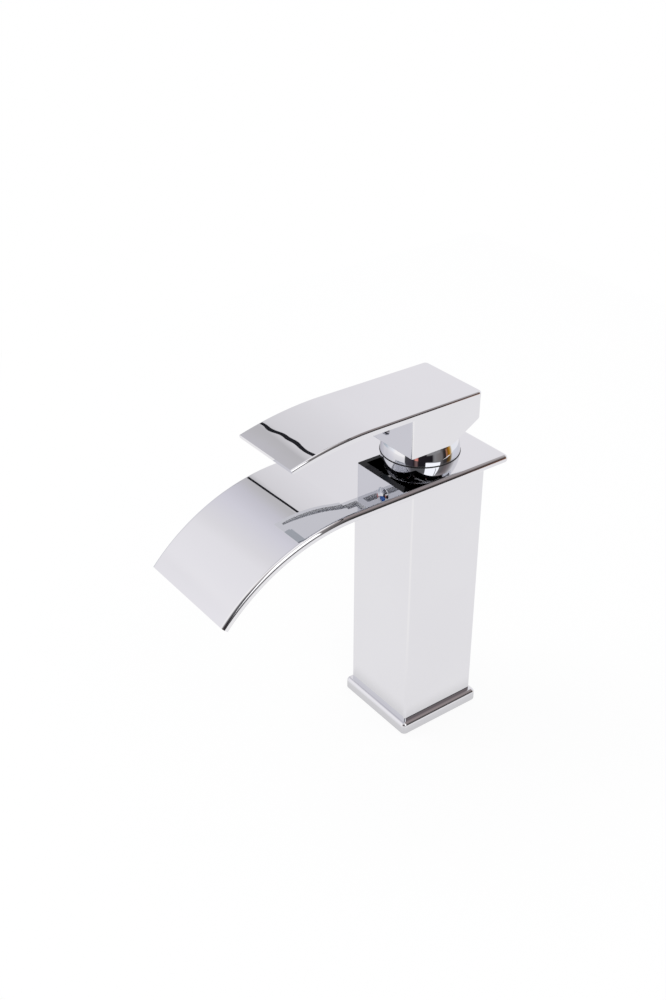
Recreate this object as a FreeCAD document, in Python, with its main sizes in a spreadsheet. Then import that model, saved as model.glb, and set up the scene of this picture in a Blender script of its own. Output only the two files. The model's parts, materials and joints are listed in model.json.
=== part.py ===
import FreeCAD, Part
import math
import os
import re

import Sketcher

# A single-lever basin mixer: a square column on a square foot, a wide double-skinned waterfall spout that
# curves down to a slot in its lip, a round collar, and a handle block with a thin curved lever on top.
# Origin: on the column's axis, in the plane that the foot stands on. +Z is up, -Y is where the water runs
# and +X is on the user's right. The handle is shown down, which is shut.

# Driving sizes, in millimetres and degrees.
SIZES = {
    # Fits
    "fit_gap": 0.1,
    "run_gap": 0.05,
    "play_gap": 0.4,
    "cut_overrun": 1.0,
    # Foot
    "gasket_proud": 0.5,
    "gasket_height": 2.0,
    "gasket_width": 4.0,
    "gasket_inset": 2.0,
    "gasket_corner_round": 3.0,
    "flange_height": 6.65,
    "flange_overhang": 2.7,
    "flange_corner_round": 2.5,
    "flange_top_round": 2.0,
    "flange_foot_round": 0.8,
    "spigot_height": 4.0,
    "spigot_wall": 1.6,
    # Column and the bar that takes the fixing stud
    "column_height": 141.2,
    "column_wall": 3.0,
    "column_edge_round": 1.0,
    "column_inner_round": 2.0,
    "bridge_height": 10.0,
    "bridge_depth": 14.0,
    "stud_radius": 4.0,
    # Valve body
    "valve_wall": 1.2,
    "nut_step": 0.6,
    "web_thickness": 12.0,
    "inlet_spacing": 14.0,
    "inlet_offset": 4.5,
    "inlet_radius": 5.0,
    "inlet_length": 9.0,
    "gallery_roof": 3.0,
    "gallery_height": 3.0,
    "riser_radius": 2.2,
    "riser_wall": 1.0,
    # Cartridge
    "cartridge_radius": 17.5,
    "housing_wall": 1.7,
    "housing_web": 2.0,
    "housing_neck_wall": 1.9,
    "housing_neck_height": 6.0,
    "base_foot_height": 3.0,
    "base_spigot_height": 3.0,
    "port_spacing": 10.0,
    "port_offset": 3.5,
    "port_radius": 2.5,
    "outlet_offset": 6.0,
    "outlet_radius": 3.0,
    "seal_width": 1.6,
    "seal_land": 0.3,
    "peg_radius": 1.5,
    "peg_length": 2.5,
    "peg_spacing": 23.0,
    "peg_offset": 3.0,
    "lug_width": 3.6,
    "lug_depth": 1.4,
    "lug_height": 2.0,
    "fixed_disc_height": 4.0,
    "fixed_disc_margin": 1.6,
    "moving_disc_height": 4.0,
    "moving_disc_margin": 1.3,
    "mixing_radius": 7.0,
    "mixing_offset": 2.5,
    "mixing_depth": 2.0,
    "carrier_height": 6.5,
    "rib_spacing": 16.0,
    "rib_width": 2.0,
    "rib_length": 12.0,
    "rib_height": 1.4,
    "guide_flange_height": 2.2,
    "guide_rise": 7.2,
    "pin_radius": 1.6,
    "pin_inset": 1.5,
    # Stem
    "lift_angle": 24.0,
    "stem_width": 7.0,
    "stem_skirt": 4.5,
    "stem_cover": 2.5,
    "shank_radius": 2.3,
    "ball_radius": 2.8,
    "ball_depth": 3.0,
    "ball_play": 0.15,
    # Nut and collar
    "nut_grip": 4.0,
    "nut_seat_width": 3.3,
    "nut_collar_height": 3.4,
    "notch_width": 3.0,
    "notch_depth": 0.9,
    "collar_seat": 1.3,
    "collar_wall": 1.5,
    "collar_mouth": 9.15,
    "ring_width": 1.6,
    "ring_rise": 1.6,
    # Spout
    "spout_thickness": 4.0,
    "spout_overhang": 8.0,
    "spout_rear": 30.5,
    "spout_flat_length": 62.0,
    "spout_bend_radius": 96.0,
    "spout_bend_angle": 47.9,
    "skin_thickness": 1.2,
    "rim_width": 2.2,
    "spacer_wall": 1.5,
    "spout_corner_round": 2.2,
    "spout_top_round": 2.0,
    "spout_foot_round": 1.2,
    # Handle
    "cavity_gap": 0.7,
    "block_gap": 10.0,
    "block_margin": 1.1,
    "block_front_margin": 2.8,
    "block_front_round": 1.0,
    "slant_start": 2.0,
    "slant_angle": 30.0,
    "slant_round": 6.0,
    "heel_round": 2.0,
    "handle_height": 33.1,
    "lever_thickness": 3.2,
    "lever_tip_thickness": 2.0,
    "lever_overhang": 0.1,
    "lever_rear": 19.7,
    "lever_flat_length": 44.3,
    "lever_front_length": 89.5,
    "lever_bend_radius": 170.0,
    "lever_corner_round": 2.2,
    "lever_edge_round": 1.1,
    "hollow_wall": 2.4,
    "hollow_front_wall": 4.0,
    "recess_skin": 1.5,
    "recess_rim": 2.2,
    "recess_tip_rim": 4.5,
    "recess_gap": 2.0,
    "screw_radius": 2.5,
    "screw_length": 8.0,
    "key_radius": 1.45,
    "key_depth": 3.0,
    # Indicator
    "plug_rise": 8.7,
    "plug_radius": 4.2,
    "plug_seat": 3.0,
    "plug_proud": 2.5,
    "mark_radius": 1.3,
    "mark_offset": 1.9,
    "mark_rise": 0.2,
    "mark_depth": 1.2,
}

# Radii, half widths and heights that follow from the driving sizes: outwards from the cartridge, then up
# from the foot.
LEVELS = {
    "chamber_radius": "cartridge_radius + fit_gap",
    "nut_bore": "chamber_radius + nut_step",
    "valve_half": "nut_bore + valve_wall",
    "inner_half": "valve_half + fit_gap",
    "column_half": "inner_half + column_wall",
    "flange_half": "column_half + flange_overhang",
    "spigot_half": "inner_half - fit_gap",
    "opening_half": "spigot_half - spigot_wall",
    "gasket_half": "flange_half - gasket_inset",
    "spout_half": "column_half + spout_overhang",
    "duct_half": "spout_half - rim_width",
    "stud_place": "spigot_half - bridge_depth / 2",
    "riser_place": "valve_half - riser_wall - riser_radius",
    "housing_inner": "cartridge_radius - housing_wall",
    "base_spigot": "housing_inner - fit_gap",
    "nut_inner": "cartridge_radius - nut_seat_width",
    "housing_neck": "nut_inner - fit_gap",
    "guide_hole": "housing_neck - housing_neck_wall",
    "guide_radius": "guide_hole - run_gap",
    "guide_flange": "housing_inner - play_gap",
    "fixed_radius": "housing_inner - fixed_disc_margin",
    "moving_radius": "housing_inner - disc_travel / 2 - moving_disc_margin",
    "collar_radius": "nut_bore + collar_seat",
    "collar_inner": "collar_radius - collar_wall",
    "collar_rise": "sqrt(collar_inner ^ 2 - collar_mouth ^ 2)",
    "ring_outer": "sqrt(collar_inner ^ 2 - (ring_rise + ring_width / 2) ^ 2) - run_gap",
    "ring_radius": "ring_outer - ring_width / 2",
    "nut_groove": "ring_outer - ring_width",
    "cavity_radius": "collar_radius + cavity_gap",
    "cavity_rise": "collar_rise + cavity_gap",
    "block_half": "collar_radius + block_margin",
    "block_front": "collar_radius + block_front_margin",
    "block_rear": "lever_rear - lever_overhang",
    "block_rear_round": "lever_corner_round - lever_overhang",
    "lever_half": "block_half + lever_overhang",
    "foot_top": "gasket_proud + flange_height",
    "bridge_foot": "foot_top + spigot_height",
    "column_top": "foot_top + column_height",
    "duct_foot": "column_top + skin_thickness",
    "pivot": "column_top + spout_thickness",
    "duct_top": "pivot - skin_thickness",
    "ring_foot": "pivot + ring_rise - ring_width / 2",
    "ring_top": "pivot + ring_rise + ring_width / 2",
    "nut_top": "pivot + nut_collar_height",
    "shoulder": "column_top - nut_grip",
    "housing_roof": "shoulder - housing_web",
    "guide_flange_top": "housing_roof - run_gap",
    "guide_foot": "guide_flange_top - guide_flange_height",
    "guide_top": "pivot + guide_rise",
    "carrier_top": "guide_foot - run_gap",
    "moving_top": "carrier_top - carrier_height",
    "fixed_top": "moving_top - moving_disc_height",
    "base_top": "fixed_top - fixed_disc_height",
    "base_foot_top": "base_top - base_spigot_height",
    "chamber_floor": "base_foot_top - base_foot_height",
    "gallery_top": "chamber_floor - gallery_roof",
    "valve_foot": "chamber_floor - web_thickness",
    "ball_level": "carrier_top - ball_depth",
    "lean": "lift_angle / 2",
    "disc_travel": "2 * (pivot - ball_level) * sin(lean)",
    "disc_rest": "disc_travel / 2",
    "ball_top": "ball_level + sqrt(ball_radius ^ 2 - shank_radius ^ 2)",
    "stem_half": "stem_width / 2",
    "stem_foot": "pivot - stem_skirt",
    "stem_rise": "handle_height - lever_thickness - stem_cover",
    "slot_half": "(pivot - guide_foot) * tan(lean) + stem_half / cos(lean) + play_gap",
    "lever_top": "pivot + handle_height",
    "lever_under": "lever_top - lever_thickness",
    "block_foot": "pivot + block_gap",
    "heel_level": "block_foot + (block_rear - slant_start) * tan(slant_angle)",
    "slant_run": "slant_round * tan(slant_angle / 2)",
    "heel_run": "heel_round * tan(45 - slant_angle / 2)",
    "plug_level": "block_foot + plug_rise",
    "screw_path": "block_front * cos(lean) - (plug_level - pivot) * sin(lean) - stem_half",
    "plug_ball": "(plug_radius ^ 2 + plug_proud ^ 2) / (2 * plug_proud)",
    "tip_sine": "(lever_front_length - lever_flat_length) / lever_bend_radius",
    "tip_cosine": "sqrt(1 - tip_sine ^ 2)",
    "tip_level": "lever_top - lever_bend_radius * (1 - tip_cosine)",
    "tip_foot": "tip_level - lever_tip_thickness * tip_cosine",
    "tip_foot_length": "lever_front_length - lever_tip_thickness * tip_sine",
    "recess_sine": "(lever_front_length - recess_tip_rim - lever_flat_length) / lever_bend_radius",
    "recess_bend_radius": "lever_bend_radius - recess_skin",
    "under_drop": "lever_under - tip_foot",
    "under_bend_radius": "((tip_foot_length - lever_flat_length) ^ 2 + under_drop ^ 2) / (2 * under_drop)",
    "lip_overrun_angle": "spout_bend_angle + cut_overrun / spout_bend_radius * 180 / pi",
}

FULL_TURN = 360
HEXAGON_SIDES = 6
LEFT_TURN = 1
RIGHT_TURN = -1
SIDES = (-1, 1)
SAME_PLACE = 1e-4

Vector = FreeCAD.Vector
WORD = re.compile(r"[a-z][a-z_]*[a-z]")

doc = FreeCAD.newDocument("BasinMixer")
sheet = doc.addObject("Spreadsheet::Sheet", "Sizes")
for row, (alias, size) in enumerate(SIZES.items(), start=1):
    sheet.set(f"A{row}", alias)
    sheet.set(f"B{row}", str(size))
    sheet.setAlias(f"B{row}", alias)
doc.recompute()


def linked(formula):
    """Formula with each size as its sheet cell and each level as its own formula."""

    def cell(match):
        word = match.group(0)
        if word in LEVELS:
            return "(" + linked(LEVELS[word]) + ")"
        return "Sizes." + word if word in SIZES else word

    return WORD.sub(cell, formula)


def number(formula):
    """Present value of a formula."""
    return float(sheet.evalExpression(linked(formula)))


# Sketches


def new_body(label):
    body = doc.addObject("PartDesign::Body", label)
    body.Label = label
    return body


def new_sketch(body, role, offset="0"):
    """Sketch on one of the body's own planes, moved along its normal by a formula."""
    sketch = body.newObject("Sketcher::SketchObject", body.Name + "_sketch")
    plane = next(feature for feature in body.Origin.OriginFeatures if feature.Role == role)
    sketch.AttachmentSupport = [(plane, "")]
    sketch.MapMode = "FlatFace"
    sketch.setExpression("AttachmentOffset.Base.z", linked(offset))
    return sketch


def plan_sketch(body, level):
    return new_sketch(body, "XY_Plane", level)


def tilt(sketch, angle, axis):
    """Turns a sketch about one of its own axes."""
    turn = FreeCAD.Rotation(axis, number(angle))
    sketch.AttachmentOffset = FreeCAD.Placement(sketch.AttachmentOffset.Base, turn)
    sketch.setExpression("AttachmentOffset.Rotation.Angle", linked(angle))


def place_point(sketch, line, end, x, y):
    """Ties a point of a sketch line to the formulas for its place."""
    for kind, axis, formula in (("DistanceX", -2, x), ("DistanceY", -1, y)):
        if formula == "0":
            sketch.addConstraint(Sketcher.Constraint("PointOnObject", line, end, axis))
        else:
            rule = Sketcher.Constraint(kind, -1, 1, line, end, number(formula))
            index = sketch.addConstraint(rule)
            sketch.setExpression(f"Constraints[{index}]", linked(formula))


def set_radius(sketch, line, radius):
    index = sketch.addConstraint(Sketcher.Constraint("Radius", line, number(radius)))
    sketch.setExpression(f"Constraints[{index}]", linked(radius))


def arc_between(start, stop, turn, radius):
    """Arc of under a half circle from start to stop, with its centre on the side that it turns to."""
    chord = stop - start
    rise = math.sqrt(radius**2 - chord.Length**2 / 4)
    side = Vector(-chord.y, chord.x, 0).normalize()
    centre = (start + stop) * 0.5 + side * (turn * rise)
    first, last = (start, stop) if turn == LEFT_TURN else (stop, start)
    angles = [math.atan2(point.y - centre.y, point.x - centre.x) for point in (first, last)]
    return Part.ArcOfCircle(Part.Circle(centre, Vector(0, 0, 1), radius), *angles)


def outline(sketch, corners):
    """Closed outline. A corner is (x, y), or (x, y, turn, radius) where an arc leaves it."""
    places = [Vector(number(corner[0]), number(corner[1]), 0) for corner in corners]
    ends = []
    lines = []
    for index, corner in enumerate(corners):
        start = places[index]
        stop = places[(index + 1) % len(corners)]
        turn = corner[2] if len(corner) > 2 else LEFT_TURN
        if len(corner) > 2:
            shape = arc_between(start, stop, turn, number(corner[3]))
        else:
            shape = Part.LineSegment(start, stop)
        lines.append(sketch.addGeometry(shape, False))
        ends.append((1, 2) if turn == LEFT_TURN else (2, 1))
    for index, corner in enumerate(corners):
        after = (index + 1) % len(corners)
        joint = Sketcher.Constraint("Coincident", lines[index], ends[index][1], lines[after], ends[after][0])
        sketch.addConstraint(joint)
        place_point(sketch, lines[index], ends[index][0], corner[0], corner[1])
        if len(corner) > 2:
            set_radius(sketch, lines[index], corner[3])


def rectangle(sketch, left, low, right, high):
    outline(sketch, [(left, low), (right, low), (right, high), (left, high)])


def square(sketch, half):
    rectangle(sketch, f"-({half})", f"-({half})", half, half)


def circle(sketch, x, y, radius):
    place = Vector(number(x), number(y), 0)
    line = sketch.addGeometry(Part.Circle(place, Vector(0, 0, 1), number(radius)), False)
    place_point(sketch, line, 3, x, y)
    set_radius(sketch, line, radius)


# Features


def pad(body, sketch, length, both_ways=False, down=False):
    feature = body.newObject("PartDesign::Pad", body.Name + "_pad")
    feature.Profile = sketch
    feature.SideType = "Symmetric" if both_ways else "One side"
    feature.Reversed = down
    feature.setExpression("Length", linked(length))
    doc.recompute()


def must_shrink(body, before):
    """A cut that points away from the solid leaves it whole, so the volume is compared."""
    if not body.Shape.Volume < before - SAME_PLACE:
        raise ValueError(f"{body.Tip.Name} cuts nothing")


def pocket(body, sketch, depth, both_ways=False, up=False):
    before = body.Shape.Volume
    feature = body.newObject("PartDesign::Pocket", body.Name + "_pocket")
    feature.Profile = sketch
    feature.SideType = "Symmetric" if both_ways else "One side"
    feature.Reversed = up
    feature.setExpression("Length", linked(depth))
    doc.recompute()
    must_shrink(body, before)


def spin(body, sketch, kind="PartDesign::Revolution", axis="V_Axis"):
    """Turns the sketch once round one of its own axes."""
    feature = body.newObject(kind, body.Name + "_turn")
    feature.Profile = sketch
    feature.ReferenceAxis = (sketch, [axis])
    feature.Angle = FULL_TURN
    doc.recompute()


def groove(body, sketch):
    before = body.Shape.Volume
    spin(body, sketch, "PartDesign::Groove")
    must_shrink(body, before)


def round_edges(body, radius, wanted):
    """Fillet on the edges that wanted picks."""
    base = body.Tip
    names = [f"Edge{index}" for index, edge in enumerate(base.Shape.Edges, start=1) if wanted(edge)]
    feature = body.newObject("PartDesign::Fillet", body.Name + "_round")
    feature.Base = (base, names)
    feature.setExpression("Radius", linked(radius))
    doc.recompute()


def spans(edge, x=None, y=None, z=None):
    """True where the whole edge lies at the given places, taken without their sign."""
    box = edge.BoundBox
    limits = ((x, box.XMin, box.XMax), (y, box.YMin, box.YMax), (z, box.ZMin, box.ZMax))
    return all(
        high - low < SAME_PLACE and abs(abs(high) - abs(number(formula))) < SAME_PLACE
        for formula, low, high in limits
        if formula is not None
    )


def turned(label, corners):
    """Body turned about the column's axis from an outline of (radius, height) corners."""
    body = new_body(label)
    sketch = new_sketch(body, "XZ_Plane")
    outline(sketch, corners)
    spin(body, sketch)
    return body


def tabs(sketch, near, far, y, half):
    """Two rectangles, one on each side of the middle, between two distances from it."""
    for side in SIDES:
        rectangle(sketch, f"{side} * ({near})", f"{y} - ({half})", f"{side} * ({far})", f"{y} + {half}")


def ports():
    """Place and radius of the cartridge's two inlets, in front, and its outlet, behind."""
    inlets = [(f"{side} * port_spacing / 2", "-port_offset", "port_radius") for side in SIDES]
    return inlets + [("0", "outlet_offset", "outlet_radius")]


# Foot and column


def column_shell():
    """Square tube with crisp outer edges."""
    body = new_body("column_shell")
    section = plan_sketch(body, "foot_top")
    square(section, "column_half")
    square(section, "inner_half")
    pad(body, section, "column_height")
    round_edges(body, "column_edge_round", lambda edge: spans(edge, x="column_half", y="column_half"))
    round_edges(body, "column_inner_round", lambda edge: spans(edge, x="inner_half", y="inner_half"))
    return body


def base_flange():
    """Square foot with a soft top edge, a spigot that centres the column and a recess for the gasket."""
    body = new_body("base_flange")
    plate = plan_sketch(body, "gasket_proud")
    square(plate, "flange_half")
    pad(body, plate, "flange_height")
    round_edges(body, "flange_corner_round", lambda edge: spans(edge, x="flange_half", y="flange_half"))
    round_edges(body, "flange_top_round", lambda edge: spans(edge, z="foot_top"))
    round_edges(body, "flange_foot_round", lambda edge: spans(edge, z="gasket_proud"))
    spigot = plan_sketch(body, "foot_top")
    square(spigot, "spigot_half")
    pad(body, spigot, "spigot_height")
    round_edges(body, "column_inner_round", lambda edge: spans(edge, x="spigot_half", y="spigot_half"))
    opening = plan_sketch(body, "bridge_foot")
    square(opening, "opening_half")
    pocket(body, opening, "bridge_foot")
    recess = plan_sketch(body, "gasket_proud")
    square(recess, "gasket_half")
    pocket(body, recess, "gasket_height - gasket_proud", up=True)
    return body


def base_gasket():
    """Square rubber ring that stands a little proud under the foot."""
    body = new_body("base_gasket")
    ring = plan_sketch(body, "0")
    square(ring, "gasket_half")
    square(ring, "gasket_half - gasket_width")
    pad(body, ring, "gasket_height")
    round_edges(body, "gasket_corner_round", lambda edge: spans(edge, x="gasket_half", y="gasket_half"))
    return body


def anchor_bridge():
    """Bar across the rear of the column, on the foot's spigot, threaded for the fixing stud."""
    body = new_body("anchor_bridge")
    bar = plan_sketch(body, "bridge_foot")
    rectangle(bar, "-spigot_half", "spigot_half - bridge_depth", "spigot_half", "spigot_half")
    pad(body, bar, "bridge_height")
    round_edges(body, "column_inner_round", lambda edge: spans(edge, x="spigot_half", y="spigot_half"))
    stud = plan_sketch(body, "bridge_foot")
    circle(stud, "0", "stud_place", "stud_radius")
    pocket(body, stud, "bridge_height", up=True)
    return body


def valve_body():
    """Block in the column's head: cartridge chamber, threaded inlets, outlet gallery and two risers."""
    body = new_body("valve_body")
    block = plan_sketch(body, "valve_foot")
    square(block, "valve_half")
    pad(body, block, "column_top - valve_foot")
    round_edges(body, "column_inner_round", lambda edge: spans(edge, x="valve_half", y="valve_half"))
    chamber = plan_sketch(body, "column_top")
    circle(chamber, "0", "0", "chamber_radius")
    pocket(body, chamber, "column_top - chamber_floor")
    nut_seat = plan_sketch(body, "column_top")
    circle(nut_seat, "0", "0", "nut_bore")
    pocket(body, nut_seat, "nut_grip")
    threads = plan_sketch(body, "valve_foot")
    for side in SIDES:
        circle(threads, f"{side} * inlet_spacing / 2", "-inlet_offset", "inlet_radius")
    pocket(body, threads, "inlet_length", up=True)
    inlets = plan_sketch(body, "chamber_floor")
    for x, y, radius in ports()[:2]:
        circle(inlets, x, y, radius)
    pocket(body, inlets, "web_thickness - inlet_length")
    pegs = plan_sketch(body, "chamber_floor")
    for side in SIDES:
        circle(pegs, f"{side} * peg_spacing / 2", "peg_offset", "peg_radius + fit_gap")
    pocket(body, pegs, "peg_length + fit_gap")
    outlet = plan_sketch(body, "chamber_floor")
    circle(outlet, *ports()[2])
    pocket(body, outlet, "gallery_roof + gallery_height")
    gallery = plan_sketch(body, "gallery_top")
    arm = "riser_place + riser_radius"
    near = "riser_place - riser_radius"
    outline(
        gallery,
        [
            ("-outlet_radius", "outlet_offset"),
            ("outlet_radius", "outlet_offset"),
            ("outlet_radius", near),
            (arm, near),
            (arm, arm),
            (f"-({arm})", arm),
            (f"-({arm})", near),
            ("-outlet_radius", near),
        ],
    )
    pocket(body, gallery, "gallery_height")
    risers = plan_sketch(body, "column_top")
    for side in SIDES:
        circle(risers, f"{side} * riser_place", "riser_place", "riser_radius")
    pocket(body, risers, "column_top - gallery_top")
    return body


# Cartridge


def cartridge_housing():
    return turned(
        "cartridge_housing",
        [
            ("housing_inner", "base_foot_top"),
            ("cartridge_radius", "base_foot_top"),
            ("cartridge_radius", "shoulder"),
            ("housing_neck", "shoulder"),
            ("housing_neck", "shoulder + housing_neck_height"),
            ("guide_hole", "shoulder + housing_neck_height"),
            ("guide_hole", "housing_roof"),
            ("housing_inner", "housing_roof"),
        ],
    )


def cartridge_base():
    """Foot of the cartridge: ports with seats for their seals, two pegs below and two lugs above."""
    body = turned(
        "cartridge_base",
        [
            ("0", "chamber_floor"),
            ("cartridge_radius", "chamber_floor"),
            ("cartridge_radius", "base_foot_top"),
            ("base_spigot", "base_foot_top"),
            ("base_spigot", "base_top"),
            ("0", "base_top"),
        ],
    )
    holes = plan_sketch(body, "base_top")
    seats = plan_sketch(body, "chamber_floor")
    for x, y, radius in ports():
        circle(holes, x, y, radius)
        circle(seats, x, y, f"{radius} + seal_land + seal_width + fit_gap")
    pocket(body, holes, "base_top - chamber_floor")
    pocket(body, seats, "seal_width", up=True)
    pegs = plan_sketch(body, "chamber_floor")
    for side in SIDES:
        circle(pegs, f"{side} * peg_spacing / 2", "peg_offset", "peg_radius")
    pad(body, pegs, "peg_length", down=True)
    lugs = plan_sketch(body, "base_top")
    tabs(lugs, "fixed_radius - lug_depth", "fixed_radius", "0", "lug_width / 2")
    pad(body, lugs, "lug_height")
    return body


def port_seals():
    """Three square rubber rings between the cartridge and the chamber's floor."""
    rings = []
    for x, y, radius in ports():
        ring = new_body("port_ring")
        section = plan_sketch(ring, "chamber_floor")
        circle(section, x, y, f"{radius} + seal_land")
        circle(section, x, y, f"{radius} + seal_land + seal_width")
        pad(ring, section, "seal_width")
        rings.append(ring)
    group = doc.addObject("Part::Compound", "port_seals")
    group.Links = rings
    return group


def notches(body, level, radius, depth, y, up):
    """Two notches in a disc's rim, one on each side, for lugs of the piece that holds or drives it."""
    sketch = plan_sketch(body, level)
    near = f"{radius} - lug_depth - fit_gap"
    far = f"{radius} + cut_overrun"
    tabs(sketch, near, far, y, "lug_width / 2 + fit_gap")
    pocket(body, sketch, depth, up=up)


def fixed_disc():
    """Ceramic disc that stands still, with the three ports."""
    body = new_body("fixed_disc")
    disc = plan_sketch(body, "base_top")
    circle(disc, "0", "0", "fixed_radius")
    for x, y, radius in ports():
        circle(disc, x, y, radius)
    pad(body, disc, "fixed_disc_height")
    notches(body, "base_top", "fixed_radius", "lug_height + fit_gap", "0", up=True)
    return body


def moving_disc():
    """Ceramic disc that slides and turns on the fixed one, with a mixing recess below."""
    body = new_body("moving_disc")
    disc = plan_sketch(body, "fixed_top")
    circle(disc, "0", "disc_rest", "moving_radius")
    pad(body, disc, "moving_disc_height")
    recess = plan_sketch(body, "fixed_top")
    circle(recess, "0", "disc_rest + mixing_offset", "mixing_radius")
    pocket(body, recess, "mixing_depth", up=True)
    notches(body, "moving_top", "moving_radius", "lug_height / 2 + fit_gap", "disc_rest", up=False)
    return body


def disc_carrier():
    """Slider over the moving disc: a socket for the stem's ball, grooves for the guide's ribs, lugs below."""
    body = new_body("disc_carrier")
    disc = plan_sketch(body, "moving_top")
    circle(disc, "0", "disc_rest", "moving_radius")
    pad(body, disc, "carrier_height")
    socket = plan_sketch(body, "carrier_top")
    circle(socket, "0", "disc_rest", "ball_radius + ball_play")
    pocket(body, socket, "ball_depth + ball_radius + ball_play")
    tracks = plan_sketch(body, "carrier_top")
    near = "(rib_spacing - rib_width) / 2 - run_gap"
    far = "(rib_spacing + rib_width) / 2 + run_gap"
    tabs(tracks, near, far, "disc_rest", "moving_radius + cut_overrun")
    pocket(body, tracks, "rib_height + play_gap")
    lugs = plan_sketch(body, "moving_top")
    tabs(lugs, "moving_radius - lug_depth", "moving_radius - fit_gap", "disc_rest", "lug_width / 2")
    pad(body, lugs, "lug_height / 2", down=True)
    return body


def stem_guide():
    """Turning guide: a flange under the housing's roof, a slotted neck that holds the pin, two ribs below."""
    body = turned(
        "stem_guide",
        [
            ("0", "guide_foot"),
            ("guide_flange", "guide_foot"),
            ("guide_flange", "guide_flange_top"),
            ("guide_radius", "guide_flange_top"),
            ("guide_radius", "guide_top"),
            ("0", "guide_top"),
        ],
    )
    slot = plan_sketch(body, "guide_top")
    rectangle(slot, "-(stem_half + play_gap)", "-slot_half", "stem_half + play_gap", "slot_half")
    pocket(body, slot, "guide_top - guide_foot")
    pin = new_sketch(body, "YZ_Plane")
    circle(pin, "0", "pivot", "pin_radius + run_gap")
    pocket(body, pin, "2 * guide_radius", both_ways=True)
    ribs = plan_sketch(body, "guide_foot")
    tabs(ribs, "(rib_spacing - rib_width) / 2", "(rib_spacing + rib_width) / 2", "0", "rib_length / 2")
    pad(body, ribs, "rib_height", down=True)
    return body


def pivot_pin():
    """Pin across the guide's neck, through the stem."""
    pin = doc.addObject("Part::Cylinder", "pivot_pin")
    pin.Placement = FreeCAD.Placement(Vector(), FreeCAD.Rotation(Vector(0, 1, 0), FULL_TURN / 4))
    pin.setExpression("Radius", linked("pin_radius"))
    pin.setExpression("Height", linked("2 * (guide_radius - pin_inset)"))
    pin.setExpression("Placement.Base.x", linked("-(guide_radius - pin_inset)"))
    pin.setExpression("Placement.Base.z", linked("pivot"))
    return pin


def lever_stem():
    """Square stem on the pin, with a round shank and a ball that drives the disc carrier.

    It leans forward by half of the lift while the mixer is shut, and back by as much when it is open.
    """
    body = turned(
        "lever_stem",
        [
            ("0", "ball_level - ball_radius", LEFT_TURN, "ball_radius"),
            ("shank_radius", "ball_top"),
            ("shank_radius", "pivot"),
            ("0", "pivot"),
        ],
    )
    bar = plan_sketch(body, "stem_foot")
    square(bar, "stem_half")
    pad(body, bar, "stem_rise + stem_skirt")
    pin = new_sketch(body, "YZ_Plane")
    circle(pin, "0", "pivot", "pin_radius + run_gap")
    pocket(body, pin, "stem_width + cut_overrun", both_ways=True)
    body.Placement = FreeCAD.Placement(Vector(), FreeCAD.Rotation(Vector(1, 0, 0), number("lean")))
    body.setExpression("Placement.Rotation.Angle", linked("lean"))
    body.setExpression("Placement.Base.y", linked("pivot * sin(lean)"))
    body.setExpression("Placement.Base.z", linked("pivot * (1 - cos(lean))"))
    return body


# Nut and collar


def retaining_nut():
    """Ring nut that holds the cartridge down, with a collar above for the seal and four spanner notches."""
    body = turned(
        "retaining_nut",
        [
            ("nut_inner", "shoulder"),
            ("nut_bore - fit_gap", "shoulder"),
            ("nut_bore - fit_gap", "pivot - fit_gap"),
            ("ring_radius", "pivot - fit_gap"),
            ("ring_radius", "ring_foot"),
            ("nut_groove", "ring_foot"),
            ("nut_groove", "ring_top"),
            ("ring_radius", "ring_top"),
            ("ring_radius", "nut_top"),
            ("nut_inner", "nut_top"),
        ],
    )
    across = plan_sketch(body, "nut_top")
    rectangle(across, "-nut_bore", "-notch_width / 2", "nut_bore", "notch_width / 2")
    pocket(body, across, "notch_depth")
    along = plan_sketch(body, "nut_top")
    rectangle(along, "-notch_width / 2", "-nut_bore", "notch_width / 2", "nut_bore")
    pocket(body, along, "notch_depth")
    return body


def collar_dome():
    """Round collar: a thin dome on the spout, open at the top for the stem."""
    return turned(
        "collar_dome",
        [
            ("collar_radius", "pivot", LEFT_TURN, "collar_radius"),
            ("sqrt(collar_radius ^ 2 - collar_rise ^ 2)", "pivot + collar_rise"),
            ("collar_mouth", "pivot + collar_rise", RIGHT_TURN, "collar_inner"),
            ("collar_inner", "pivot"),
        ],
    )


def collar_seal():
    """Square rubber ring on the nut that grips the collar."""
    return turned(
        "collar_seal",
        [
            ("nut_groove", "ring_foot"),
            ("ring_outer", "ring_foot"),
            ("ring_outer", "ring_top"),
            ("nut_groove", "ring_top"),
        ],
    )


# Spout


def spout_layer(body, above, below, rear, angle):
    """Side outline of a layer of the spout between two depths under its top face, flat and then curved."""
    upper = f"spout_bend_radius - ({above})"
    lower = f"spout_bend_radius - ({below})"

    def lip(radius):
        y = f"-spout_flat_length - ({radius}) * sin({angle})"
        return y, f"pivot - spout_bend_radius + ({radius}) * cos({angle})"

    sketch = new_sketch(body, "YZ_Plane")
    outline(
        sketch,
        [
            (rear, f"pivot - ({above})"),
            ("-spout_flat_length", f"pivot - ({above})", LEFT_TURN, upper),
            lip(upper),
            (*lip(lower), RIGHT_TURN, lower),
            ("-spout_flat_length", f"pivot - ({below})"),
            (rear, f"pivot - ({below})"),
        ],
    )
    return sketch


def spout_rim(depth):
    """Test for the edges of the spout's face at a depth, apart from its lip and the line where it bends."""

    def on_rim(edge):
        if spans(edge, x="spout_half") and isinstance(edge.Curve, Part.Circle):
            return abs(edge.Curve.Radius - number(f"spout_bend_radius - {depth}")) < SAME_PLACE
        return spans(edge, z=f"pivot - {depth}") and not spans(edge, y="spout_flat_length")

    return on_rim


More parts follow.
